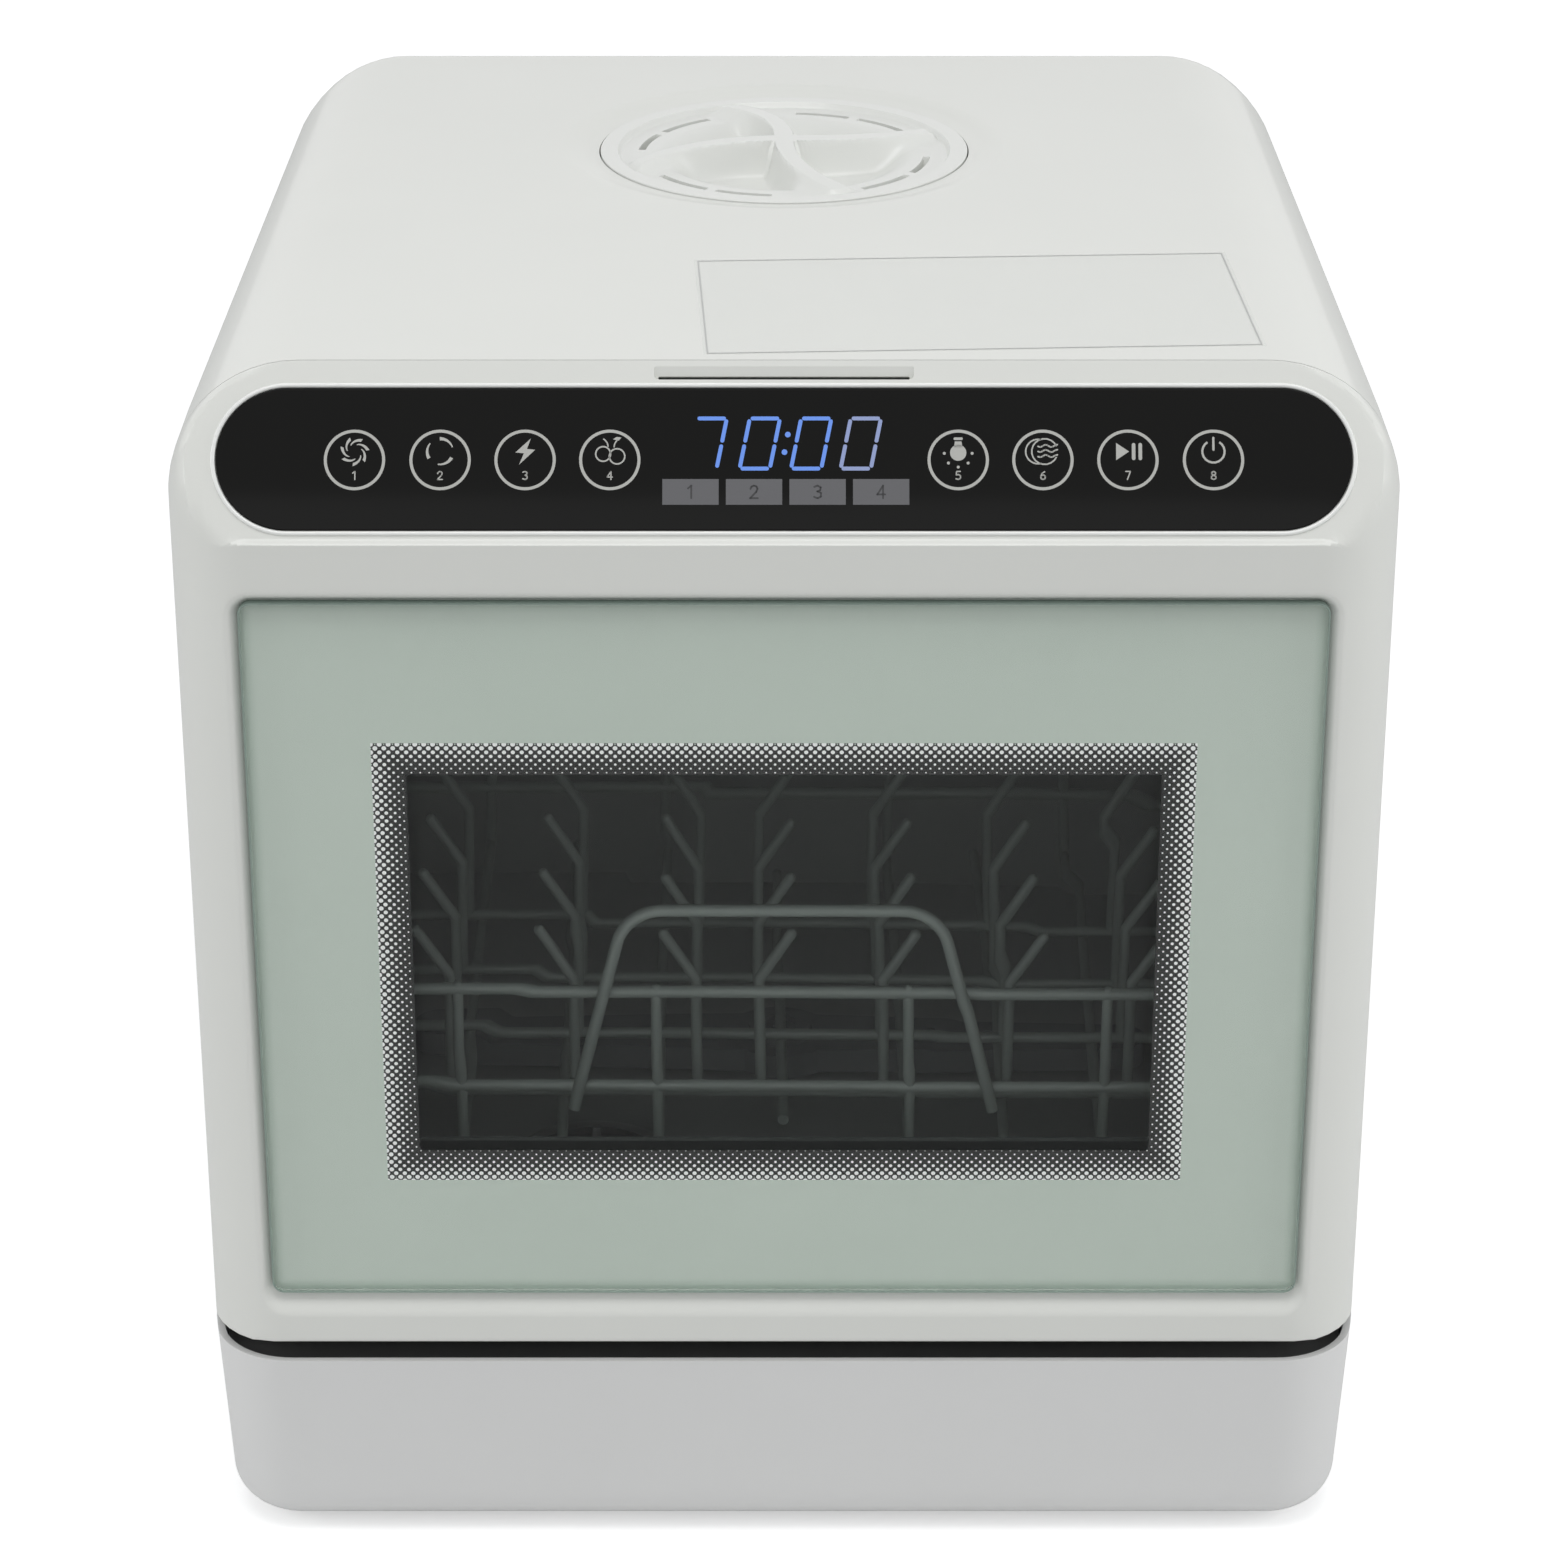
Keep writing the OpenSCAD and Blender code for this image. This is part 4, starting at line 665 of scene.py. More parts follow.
# %% [markdown]
# ## Casing
#
# Behind the seam, the casing carries the same arch to the back, where its
# upright corners roll over with a large radius and the top edge with a
# smaller one. The sides draw in a little towards the back. A sheet with a
# Solidify modifier could give the wall, but not its flat seam and foot. So an
# inner grid follows the outer one at 2.5 millimetres, and the two are stitched
# at the seam, the foot and the rear opening.

# %% Walls and sums of parts


def wall(outer, inner, close_cols=False):
    """A closed wall between two equal grids: both faces and the strips along their borders."""
    rows, cols = outer.shape[:2]
    count = rows * cols
    index = np.arange(count).reshape(rows, cols)
    skin = grid_quads(rows, cols, close_cols=close_cols)
    faces = [skin, (skin + count)[:, ::-1]]
    borders = [index[0], index[-1]] + ([] if close_cols else [index[:, 0], index[:, -1]])
    for line in borders:
        line = np.append(line, line[0]) if close_cols else line
        faces.append(np.stack([line[:-1], line[1:], line[1:] + count, line[:-1] + count], -1))
    return np.concatenate([outer.reshape(-1, 3), inner.reshape(-1, 3)]), np.concatenate(faces)


def joined(parts):
    """Several (points, faces) pairs as one."""
    points, faces, first = [], [], 0
    for more_points, more_faces in parts:
        points.append(np.asarray(more_points, float).reshape(-1, 3))
        faces.extend(tuple(int(i) + first for i in face) for face in more_faces)
        first += len(points[-1])
    return np.concatenate(points), faces


# %% Casing shell
REAR_HALF, REAR_TOP, STRIP_TOP = 152.0, 405.0, 96
DRAFT, DRAFT_START = 0.0175, 60


def draft(y):
    """How far each side has drawn in at depth y: one millimetre in 57, so the mould lets go."""
    return DRAFT * np.clip(y - DRAFT_START, 0, None)


def casing_arch(y, inset):
    """Arch of the casing at depth y, rolled in at the back, drawn in by an inset."""
    side = np.clip(y - (BODY_D - REAR_R), 0, REAR_R)
    head = np.clip(y - (BODY_D - BACK_EDGE_R), 0, BACK_EDGE_R)
    side = REAR_R - math.sqrt(REAR_R ** 2 - side ** 2)
    head = BACK_EDGE_R - math.sqrt(BACK_EDGE_R ** 2 - head ** 2)
    radius = max(TOP_R - 0.8 * max(side, head) - inset, 8.0)
    return arch(HALF_W - side - inset - draft(y), BODY_H - head - inset, DOOR_BOTTOM, radius)


straight = np.linspace(SEAM_Y + SEAM_GAP, BODY_D - REAR_R, 12)
rolled = BODY_D - REAR_R + REAR_R * np.sin(np.linspace(0, np.pi / 2, 26)[1:])
depths = np.concatenate([straight, rolled])
rear_hole = arch(REAR_HALF, REAR_TOP, DOOR_BOTTOM, 3.0)
inner_back = BODY_D - WALL
outside = [at_depth(casing_arch(y, 0.0), y) for y in depths] + [at_depth(rear_hole, BODY_D)]
inside = [at_depth(casing_arch(y, WALL), min(y, inner_back)) for y in depths]
inside.append(at_depth(rear_hole, inner_back))
strip = block((-REAR_HALF, inner_back, DOOR_BOTTOM), (REAR_HALF, BODY_D, STRIP_TOP))
points, faces = joined([wall(np.array(outside), np.array(inside)), strip])
casing = make_piece("casing_moulding", points, faces, cover_abs, "body",
    smooth=MOULD_SMOOTH, slot="white_shell")
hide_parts("outer_casing")

# %% [markdown]
# The lid sits in a round seat that is sunk 2.2 mm with a wide soft bevel, and
# a boss under it stiffens the top. Both are round, so both are profiles turned
# about the lid's axis: the seat's profile is cut from the cover, and the
# boss's is added as a ring under it.

# %% Turned shapes


def revolve(profile, steps, centre):
    """Points (r cos a, r sin a, z) of a closed profile of (r, z) pairs turned about Z."""
    r, z = np.asarray(profile, float).T
    a = np.linspace(0, 2 * np.pi, steps, endpoint=False)[:, None]
    grid = np.stack([r * np.cos(a), r * np.sin(a), np.broadcast_to(z, (steps, len(z)))], -1)
    return ringed(grid + np.asarray(centre))


# %% Lid seat
SEAT_Z, BEVEL_W, BEVEL_RISE = LID_TOP - 0.7, 12, 2.25
CUT_LOW, CUT_HIGH = 425.0, 450.0
BOSS_LOW, BOSS_HIGH, BOSS_R = 436.5, 439.6, 86.0
bore, lip = LID_D / 2 + 0.5, LID_D / 2 + 2.5
seat = [(0.0, CUT_LOW), (bore, CUT_LOW), (bore, SEAT_Z), (lip, SEAT_Z)]
seat += [(lip + BEVEL_W * t, SEAT_Z + BEVEL_RISE * step(t, 0, 1))
    for t in np.linspace(0, 1, 9)[1:]]
seat += [(lip + BEVEL_W, CUT_HIGH), (0.0, CUT_HIGH)]
cut(casing, [revolve(seat, 160, (0, LID_Y, 0))])
boss = [(bore, BOSS_LOW), (BOSS_R, BOSS_LOW), (BOSS_R, BOSS_HIGH), (bore, BOSS_HIGH)]
make_piece("lid_seat_boss", *revolve(boss, 128, (0, LID_Y, 0)), cover_abs, "body",
    slot="white_shell")

# %% [markdown]
# ## Filling lid
#
# The lid is a dish that a hand turns by four blades that sweep from the hub
# to the rim like a pinwheel. Blades joined to a disc as separate solids would
# meet it in hard lines. So all of it is one height field over polar
# coordinates: a flat rim, a low step down to a shelf with arc slots, a dish
# in the middle, and blades with soft flanks that rise from it. The blades are
# the largest feature, so the field is fine along the angle.

# %% Lid as a polar height field
# outer radius, the step's radius, and the heights of the shelf and the dish's floor
RIM_R, RIM_IN, SHELF, FLOOR = 70.0, 63.6, -2.2, -9.5
DISH_IN, DISH_OUT = 34, 49  # radii between which the dish's wall climbs to the shelf
HUB_RISE, HUB_R, BLADES = 3.9, 11.0, 4
SWEEP, SWEEP_R, BLADE_HALF, FLANK = np.radians(22), 62, 3.4, 4.2
# the arc slots: from and to in degrees of each quarter, radii and depth
ARCS, ARC_IN, ARC_OUT, ARC_DEEP = ((32.5, 58.0), (62.5, 85.0)), 53.2, 55.9, 4.5
ROUND = 0.5


def lid_height(r, a):
    """Height over the rim plane at radius r and angle a: floor (1 - blade) + crown blade."""
    shelf = SHELF * (1 - step(r, RIM_IN - 1.6, RIM_IN))
    floor = shelf + (FLOOR - SHELF) * (1 - step(r, DISH_IN, DISH_OUT))
    # across is the distance from the swept centre line of the nearest blade
    sweep = SWEEP * (r / SWEEP_R) ** 1.25
    turn = (a - sweep + np.pi / BLADES) % (2 * np.pi / BLADES) - np.pi / BLADES
    across = np.abs(turn) * np.maximum(r, 4.0)
    half = BLADE_HALF + 1.5 * np.clip(1 - r / 22, 0, 1) ** 2
    flank = FLANK + FLANK * np.clip(r / RIM_IN, 0, 1)
    # a crisp upper edge whose flank runs out into the floor like a cove
    blade = (1 - np.clip((across - half) / flank, 0, 1)) ** 2
    blade = np.maximum(blade, 1 - step(r, HUB_R / 2, HUB_R))
    blade = blade * (1 - step(r, RIM_IN - 5.0, RIM_IN))
    crown = HUB_RISE * np.clip(1 - (r / RIM_IN) ** 2, 0, 1) ** 0.8
    z = floor * (1 - blade) + crown * blade
    # two arc slots in each quarter, on the shelf
    quarter = np.degrees(a) % 90
    slot = sum(step(quarter, f, f + 0.8) * (1 - step(quarter, g - 0.8, g)) for f, g in ARCS)
    slot = slot * step(r, ARC_IN, ARC_IN + 0.3) * (1 - step(r, ARC_OUT - 0.3, ARC_OUT))
    # the outer edge is rounded by a quarter circle
    edge = np.clip((r - (RIM_R - ROUND)) / ROUND, 0, 1.0)
    return z - ARC_DEEP * slot - ROUND * (1 - np.sqrt(np.clip(1 - edge ** 2, 0, None)))


# %% Lid mesh
TURNS = 600
SKIRT_R, SKIRT_Z, PLUG_Z = 61.9, -4, -14
# radii crowd at the arc slots and at the rounded edge
radii = np.unique(np.concatenate([[0.01], np.linspace(2, 52, 40), np.linspace(52.5, 56.5, 21),
    np.linspace(57, 64, 15), [66.5], RIM_R - ROUND + ROUND * np.sin(np.linspace(0, np.pi / 2, 6))]))
angles = np.linspace(0, 2 * np.pi, TURNS, endpoint=False)
r, a = np.meshgrid(radii, angles, indexing="ij")
top = np.stack([r * np.cos(a), r * np.sin(a), lid_height(r, a)], -1)
under = np.array([(RIM_R, SKIRT_Z), (SKIRT_R, SKIRT_Z), (SKIRT_R, PLUG_Z), (0.01, PLUG_Z)])
under = np.stack([under[:, :1] * np.cos(angles), under[:, :1] * np.sin(angles),
    np.repeat(under[:, 1:], TURNS, 1)], -1)
lid_grid = np.concatenate([top, under]) + (0, LID_Y, LID_TOP)
tank_lid = make_piece("filling_lid", lid_grid, grid_quads(*lid_grid.shape[:2], close_cols=True),
    lid_abs, "lid", smooth=50, slot="white_shell", merge=2e-5)
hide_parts("tank_lid")

# %% [markdown]
# ## Base
#
# The base is a tapered tub: outlines seen from above, stacked upwards. Its
# lower edge rolls under with a 16 mm radius. Its rim dips at the front to
# leave the dark gap that the door swings over. A lofted block cut off by a
# plane could not give that dip; a rim height that depends on the depth does.

# %% Outlines of the base
BASE_TAPER, EDGE_R, FOOT_H = 3.4, 16.0, 3.0
RAMP_START, RAMP_RUN = 20, 14.2


def plan(inset):
    """Closed outline from above, drawn in by an inset: round front and rear corners."""
    half, front_r, rear_r = HALF_W - inset, max(FRONT_R - inset, 5.0), max(REAR_R - inset, 8.0)
    front, rear = inset + front_r, BODY_D - inset - rear_r
    line = linked([corner(-half + front_r, front, front_r, 270, 16),
        corner(-half + rear_r, rear, rear_r, 180, 16), corner(half - rear_r, rear, rear_r, 90, 16),
        corner(half - front_r, front, front_r, 360, 16)], (30, 36, 30, 36))
    return line * np.stack([1 - draft(line[:, 1]) / HALF_W, np.ones(len(line))], -1)


def rim_height(y):
    """The rim stands at the gap's foot in front and climbs to the casing behind the seam."""
    climb = np.clip((y - RAMP_START) / RAMP_RUN, 0, 1)
    return BASE_TOP + (DOOR_BOTTOM - BASE_TOP) * climb


def base_rows(inset, floor_z):
    """Rows of the wall from the rim down, round the lower edge and in to the floor's middle."""
    rows = []
    for t in np.linspace(0, 1, 8):
        xy = plan(inset + BASE_TAPER * t)
        z = rim_height(xy[:, 1])
        rows.append(np.column_stack([xy, z + (floor_z + EDGE_R - z) * t]))
    for a in np.radians(np.linspace(0, 90, 11)[1:]):
        xy = plan(inset + BASE_TAPER + EDGE_R * (1 - np.cos(a)))
        rows.append(np.column_stack([xy, np.full(len(xy), floor_z + EDGE_R * (1 - np.sin(a)))]))
    middle = np.array([0.0, BODY_D / 2])
    for t in (0.5, 0.9999):
        rows.append(np.column_stack([xy + (middle - xy) * t, np.full(len(xy), floor_z)]))
    return np.array(rows)


# %% Base moulding
POST_R, POST_LOW, POST_HIGH = 8, 5.2, 94.4
shell = wall(base_rows(0.0, FOOT_H), base_rows(WALL, FOOT_H + WALL), close_cols=True)
# pads behind the hose tails and the gland, screw posts, and ribs under the tank
pads = [block((x0, BODY_D - 8, 34), (x1, BODY_D - 0.2, 66)) for x0, x1 in ((-132, -54), (109, 141))]
post = [(0.01, POST_LOW), (POST_R, POST_LOW), (POST_R, POST_HIGH), (0.01, POST_HIGH)]
posts = [revolve(post, 24, (x, y, 0)) for x in (-150, 150) for y in (70, 319.6)]
ribs = [block((x - 9, 379.4, 5), (x + 9, 394.4, 92.4)) for x in (-140, 0, 140)]
points, faces = joined([shell, *pads, *posts, *ribs])
base = make_piece("base_moulding", points, faces, base_abs, "body", smooth=35,
    slot="base_white", merge=2e-5)
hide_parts("base_skirt", "base_plate")

# %% [markdown]
# ## Front glass
#
# The pane is 3.1 mm of toughened glass with ground edges. Behind it lies the
# fired print: a pale green coat that turns into a black frame through rows of
# shrinking dots, so that the eye sees no hard edge. Thousands of dots could be
# cut as plates; the print is a real layer with a real hole instead, and the
# dots are a pattern in its material, worked out from their spacing. A ring of
# sealant fills the joint between the pane and the door.

# %% Pane
WIN_HALF, WIN_LOW, WIN_TOP, BAND = 138.3, 149.0, 314.7, 10.5
# both faces are a little smaller than the pane, which is what grinding its edges leaves
pane_line, ground = pane_loop(0.0, 4.0), pane_loop(-0.7, 3.4)
rings = [at_depth(ground, 1.8), at_depth(pane_line, 2.4), at_depth(pane_line, 4.7),
    at_depth(ground, 4.9)]
front_glass = make_piece("front_pane", *capped(np.array(rings)), front_pane, "door",
    smooth=20, slot="green_glass")
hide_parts("front_glass")

# %% [markdown]
# The print is worked out in small sums, one shader node each, so they stand in
# a list: the result's name, the operation, and what goes in. The dots sit like
# the black squares of a chequerboard. With a = (x + z)/pitch and
# b = (x - z)/pitch, a dot's middle is where a and b are both whole, and the
# distance to it is pitch/sqrt 2 times the length of (a, b) less (a, b) rounded.

# %% Sums of the print
PITCH, RING_R, FIRST_ROW = 3.0, 1.28, -1.2
PRINT_SUMS = (
    ("x", "MULTIPLY", "x", 1 / MM),
    ("z", "MULTIPLY", "z", 1 / MM),
    ("off_x", "ABSOLUTE", "x"),
    # depth inside the frame's outer edge, the least of the four sides
    ("side", "SUBTRACT", WIN_HALF, "off_x"),
    ("off_z", "SUBTRACT", "z", (WIN_TOP + WIN_LOW) / 2),
    ("off_z", "ABSOLUTE", "off_z"),
    ("head", "SUBTRACT", (WIN_TOP - WIN_LOW) / 2, "off_z"),
    ("depth", "MINIMUM", "side", "head"),
    # distance to the nearest dot of the lattice
    ("up", "SUBTRACT", "z", WIN_LOW),
    ("a", "ADD", "x", "up"),
    ("b", "SUBTRACT", "x", "up"),
    ("a", "DIVIDE", "a", PITCH),
    ("b", "DIVIDE", "b", PITCH),
    ("a_whole", "ROUND", "a"),
    ("b_whole", "ROUND", "b"),
    ("a", "SUBTRACT", "a", "a_whole"),
    ("b", "SUBTRACT", "b", "b_whole"),
    ("a", "MULTIPLY", "a", "a"),
    ("b", "MULTIPLY", "b", "b"),
    ("far", "ADD", "a", "b"),
    ("far", "SQRT", "far"),
    ("far", "MULTIPLY", "far", PITCH * math.sqrt(0.5)),
    # black inside the frame, and as rings round the first row outside it
    ("inside", "GREATER_THAN", "depth", 0.0),
    ("ring", "LESS_THAN", "far", RING_R),
    ("first", "GREATER_THAN", "depth", FIRST_ROW),
    ("ring", "MULTIPLY", "first", "ring"),
    ("black", "MAXIMUM", "inside", "ring"),
    # distance to the pane's own edge
    ("edge_x", "SUBTRACT", GLASS_W / 2, "off_x"),
    ("edge_z", "SUBTRACT", "z", GLASS_MID),
    ("edge_z", "ABSOLUTE", "edge_z"),
    ("edge_z", "SUBTRACT", GLASS_H / 2, "edge_z"),
    ("edge", "MINIMUM", "edge_x", "edge_z"),
)
print("sums in the print:", len(PRINT_SUMS))

# %% The fired print as a pattern
BIG_DOT, SMALL_DOT, EDGE_FADE = 0.84, 0.24, 5.0


def fired_print(name, coat, coat_edge, black, dot_code):
    """A coat outside the window's frame; inside it black with dots that shrink inwards."""
    material, tree = new_material(name)
    place = add_node(tree, "TexCoord").outputs["Object"]
    axis = add_node(tree, "SeparateXYZ", {0: place})
    value = {"x": axis.outputs[0], "z": axis.outputs[2]}
    for result, operation, *terms in PRINT_SUMS:
        terms = {i: value.get(term, term) for i, term in enumerate(terms)}
        value[result] = add_node(tree, "Math", terms, operation=operation).outputs[0]
    size = add_node(tree, "MapRange", {"Value": value["depth"], "From Min": 0.0,
        "From Max": BAND, "To Min": BIG_DOT, "To Max": SMALL_DOT})
    dot = add_node(tree, "Math", {0: value["far"], 1: size.outputs[0]}, operation="LESS_THAN")
    # the coat is a little darker near the pane's edge, where the ledge shades it
    fade = add_node(tree, "MapRange", {"Value": value["edge"], "From Min": 0.0,
        "From Max": EDGE_FADE}, interpolation_type="SMOOTHSTEP")
    cloud = add_node(tree, "TexNoise", {"Vector": place, "Scale": 9.0, "Detail": 2.0})
    cloud = add_node(tree, "MapRange", {"Value": cloud.outputs["Fac"], "To Min": 0.75,
        "To Max": 1.1})
    fade = add_node(tree, "Math", {0: fade.outputs[0], 1: cloud.outputs[0]}, operation="MULTIPLY")
    outer_ink = add_node(tree, "Mix", {0: fade.outputs[0], 6: linear(coat_edge),
        7: linear(coat)}, data_type="RGBA")
    frame_ink = add_node(tree, "Mix", {0: dot.outputs[0], 6: linear(black),
        7: linear(dot_code)}, data_type="RGBA")
    ink = add_node(tree, "Mix", {0: value["black"], 6: outer_ink.outputs[2],
        7: frame_ink.outputs[2]}, data_type="RGBA")
    skin = add_node(tree, "BsdfPrincipled", {"Base Color": ink.outputs[2], "Roughness": 0.45})
    add_node(tree, "OutputMaterial", {"Surface": skin.outputs[0]})
    return material


# %% Print layer and sealant
NEAR, FAR = 4.92, 5.0  # depths of the print's two faces, behind the pane
# milky green enamel: matt itself, with the gloss of the pane in front of it
print_ink = fired_print("ceramic_print_fired_on_glass", "#ced8cf", "#b7c5ba", "#141514", "#ffffff")
window = loop(WIN_HALF - BAND, WIN_TOP - BAND, WIN_LOW + BAND, 1.0, 1.0)
layer = np.array([at_depth(pane_line, NEAR), at_depth(window, NEAR), at_depth(window, FAR),
    at_depth(pane_line, FAR)])
make_piece("front_pane_print", *ringed(layer), print_ink, "door", smooth=20,
    slot="green_glass")
# silicone with a wet gloss; its green-grey is painted light, standing in for the dark green line
# that the ground edge of the glass shows beside it
sealant = moulded("silicone_bead_painted_glass_edge", "#8a9b92", 0.3, grain=0.0, tone=0.02)
seal_out, seal_in = pane_loop(0.38, 4.4), pane_loop(-0.3, 3.7)
seal = np.array([at_depth(seal_out, 4.9), at_depth(seal_out, 2.1),
    at_depth((seal_out + seal_in) / 2, 1.6), at_depth(seal_in, 1.75), at_depth(seal_in, 2.3)])
make_piece("pane_seal", *ringed(seal), sealant, "door", smooth=60, slot="dark_rubber")

# %% [markdown]
# ## Touch panel
#
# The control panel is a black bar with half-round ends, let into the slope
# of the door and framed by a slim round bead. The bead could be a bevelled
# curve; as a circle carried round the bar's own outline, it stays on the
# outline at every point. The bar is cast acrylic, polished on its face.

# %% Panel bar and its pocket
PILL_W, PILL_H, PILL_TOP = 376.0, 47.5, 0.3
points, faces = plate(stadium(PILL_W + 0.6, PILL_H + 0.6) + (0.0, PANEL_MID), -1.6, CLEAR)
cut(door_front, [(on_panel(points), faces)])


def panel_gloss(name, code):
    """Polished acrylic; a very slow waviness bends the reflections a little."""
    material, tree = new_material(name)
    place = add_node(tree, "TexCoord").outputs["Object"]
    wave = add_node(tree, "TexNoise", {"Vector": place, "Scale": 1 / 0.09, "Detail": 1.0})
    bump = add_node(tree, "Bump", {"Height": wave.outputs["Fac"], "Strength": 0.25,
        "Distance": 0.4 * MM})
    skin = add_node(tree, "BsdfPrincipled", {"Base Color": linear(code), "Roughness": 0.12,
        "IOR": 1.22, "Normal": bump.outputs[0]})
    add_node(tree, "OutputMaterial", {"Surface": skin.outputs[0]})
    return material


# deep black with a faint wide sheen; the low IOR keeps the white dome out of it
acrylic = panel_gloss("black_acrylic_back_printed", "#0d0d0c")
points, faces = plate(stadium(PILL_W, PILL_H, 64) + (0.0, PANEL_MID), -1.5, PILL_TOP, edge=0.3)
touch_bar = make_piece("touch_panel_bar", on_panel(points), faces, acrylic, "door",
    slot="black_glass")
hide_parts("touch_window")

# %% Bead round the bar, half sunk in the slope
BEAD_R = 0.75
line = stadium(PILL_W + 2.2, PILL_H + 2.2, 48) + (0.0, PANEL_MID)
a = np.linspace(0, 2 * np.pi, 10, endpoint=False)
ahead = np.roll(line, -1, 0) - np.roll(line, 1, 0)
out_of = np.stack([ahead[:, 1], -ahead[:, 0]], -1) / np.linalg.norm(ahead, axis=1, keepdims=True)
across = line[:, None] + out_of[:, None] * (BEAD_R * np.cos(a))[None, :, None]
up = np.broadcast_to((BEAD_R * np.sin(a))[None, :, None], (*across.shape[:2], 1))
bead = np.concatenate([across, up], -1)
# polished, and painted lighter than the cover round it: a painted highlight that, with the real
# gloss, draws a thin bright line round the black bar
bead_gloss_painted_highlight = moulded("white_abs_polished_bead_painted_highlight", "#f4f5f2", 0.18, grain=0.0, coat=0.5)
make_piece("panel_bead", *ringed(on_panel(bead).reshape(bead.shape)), bead_gloss_painted_highlight, "door",
    slot="white_shell")

# %% [markdown]
# A real bar is printed on its back: a ring for each of the eight keys with a
# simple picture in it and a plain number below, and four grey lamps for the
# stages. The marks could be a pattern in the bar's material, but strokes stay
# crisp at any distance. So each mark is a flat plate that stands out of the
# bar's face by 0.04 mm or less, too little to see: rings, bars with round
# ends, and plain polygons are enough for all of them.

# %% Strokes
MARK_LOW, MARK_TOP = PILL_TOP - 0.05, PILL_TOP + 0.04
END_STEPS, BOW_STEPS = 7, 18  # points of a stroke's round end, and along an arc


def bar(a, b, wide):
    """Outline of a straight stroke from a to b with half-round ends."""
    a, b = np.asarray(a, float), np.asarray(b, float)
    heading = math.atan2(b[1] - a[1], b[0] - a[0])
    t = np.linspace(-np.pi / 2, np.pi / 2, END_STEPS)
    end = wide / 2 * np.stack([np.cos(heading + t), np.sin(heading + t)], -1)
    return np.concatenate([b + end, a - end])


def strokes(points, wide):
    """Bars from each point of a line to the next."""
    return [bar(a, b, wide) for a, b in zip(points[:-1], points[1:])]


def bow(centre, radius, start, end, wide, wide_end=None, radius_end=None):
    """Outline of an arc stroke as one loop; width and radius may change along it."""
    a = np.radians(np.linspace(start, end, BOW_STEPS))
    r = np.linspace(radius, radius if radius_end is None else radius_end, BOW_STEPS)
    w = np.linspace(wide, wide if wide_end is None else wide_end, BOW_STEPS) / 2
    ray = np.stack([np.cos(a), np.sin(a)], -1)
    far, near = ((r + k * w)[:, None] * ray + np.asarray(centre) for k in (1, -1))
    return np.concatenate([far, near[::-1]])


def disc(centre, radius, steps):
    """Outline of a filled circle."""
    a = np.linspace(0, 2 * np.pi, steps, endpoint=False)
    return np.asarray(centre) + radius * np.stack([np.cos(a), np.sin(a)], -1)


def flat_marks(name, outlines, rings, material, slot):
    """One piece from many flat outlines and (x, up, outer, inner) rings on the panel."""
    parts = [plate(o, MARK_LOW, MARK_TOP) for o in outlines]
    for x, up, outer, inner in rings:
        ring = [(inner, MARK_LOW), (outer, MARK_LOW), (outer, MARK_TOP), (inner, MARK_TOP)]
        parts.append(revolve(ring, 56, (x, up, 0)))
    points, faces = joined(parts)
    make_piece(name, on_panel(points), faces, material, "door", smooth=30, slot=slot, merge=1e-8)


# %% Numbers, as lines in a box 0.6 wide and 1 high
DIGITS = {
    1: [[(0.1, 0.78), (0.36, 1), (0.36, 0)]],
    2: [[(0.02, 0.74), (0.1, 0.92), (0.3, 1), (0.5, 0.92), (0.57, 0.74), (0.47, 0.5), (0, 0),
         (0.6, 0)]],
    3: [[(0.04, 0.9), (0.3, 1), (0.55, 0.86), (0.5, 0.62), (0.28, 0.54)],
        [(0.28, 0.54), (0.56, 0.42), (0.56, 0.12), (0.3, 0), (0.02, 0.1)]],
    4: [[(0.45, 0), (0.45, 1), (0, 0.3), (0.62, 0.3)]],
    5: [[(0.55, 1), (0.1, 1), (0.05, 0.56), (0.32, 0.62), (0.57, 0.46), (0.57, 0.14), (0.3, 0),
         (0.02, 0.09)]],
    6: [[(0.5, 0.96), (0.2, 0.78), (0.02, 0.4), (0.06, 0.1), (0.3, 0), (0.54, 0.1), (0.58, 0.32),
         (0.48, 0.52), (0.28, 0.58), (0.04, 0.42)]],
    7: [[(0.02, 1), (0.6, 1), (0.22, 0)]],
    8: [[(0.3, 0.54), (0.07, 0.66), (0.07, 0.88), (0.3, 1), (0.53, 0.88), (0.53, 0.66),
         (0.3, 0.54), (0.03, 0.38), (0.03, 0.12), (0.3, 0), (0.57, 0.12), (0.57, 0.38),
         (0.3, 0.54)]],
}


def number(digit, x, up, tall, wide):
    """Strokes of one digit, its middle at (x, up)."""
    lines = [(np.array(line) - (0.3, 0.5)) * tall + (x, up) for line in DIGITS[digit]]
    return sum([strokes(line, wide) for line in lines], [])


# %% Pictures in the keys


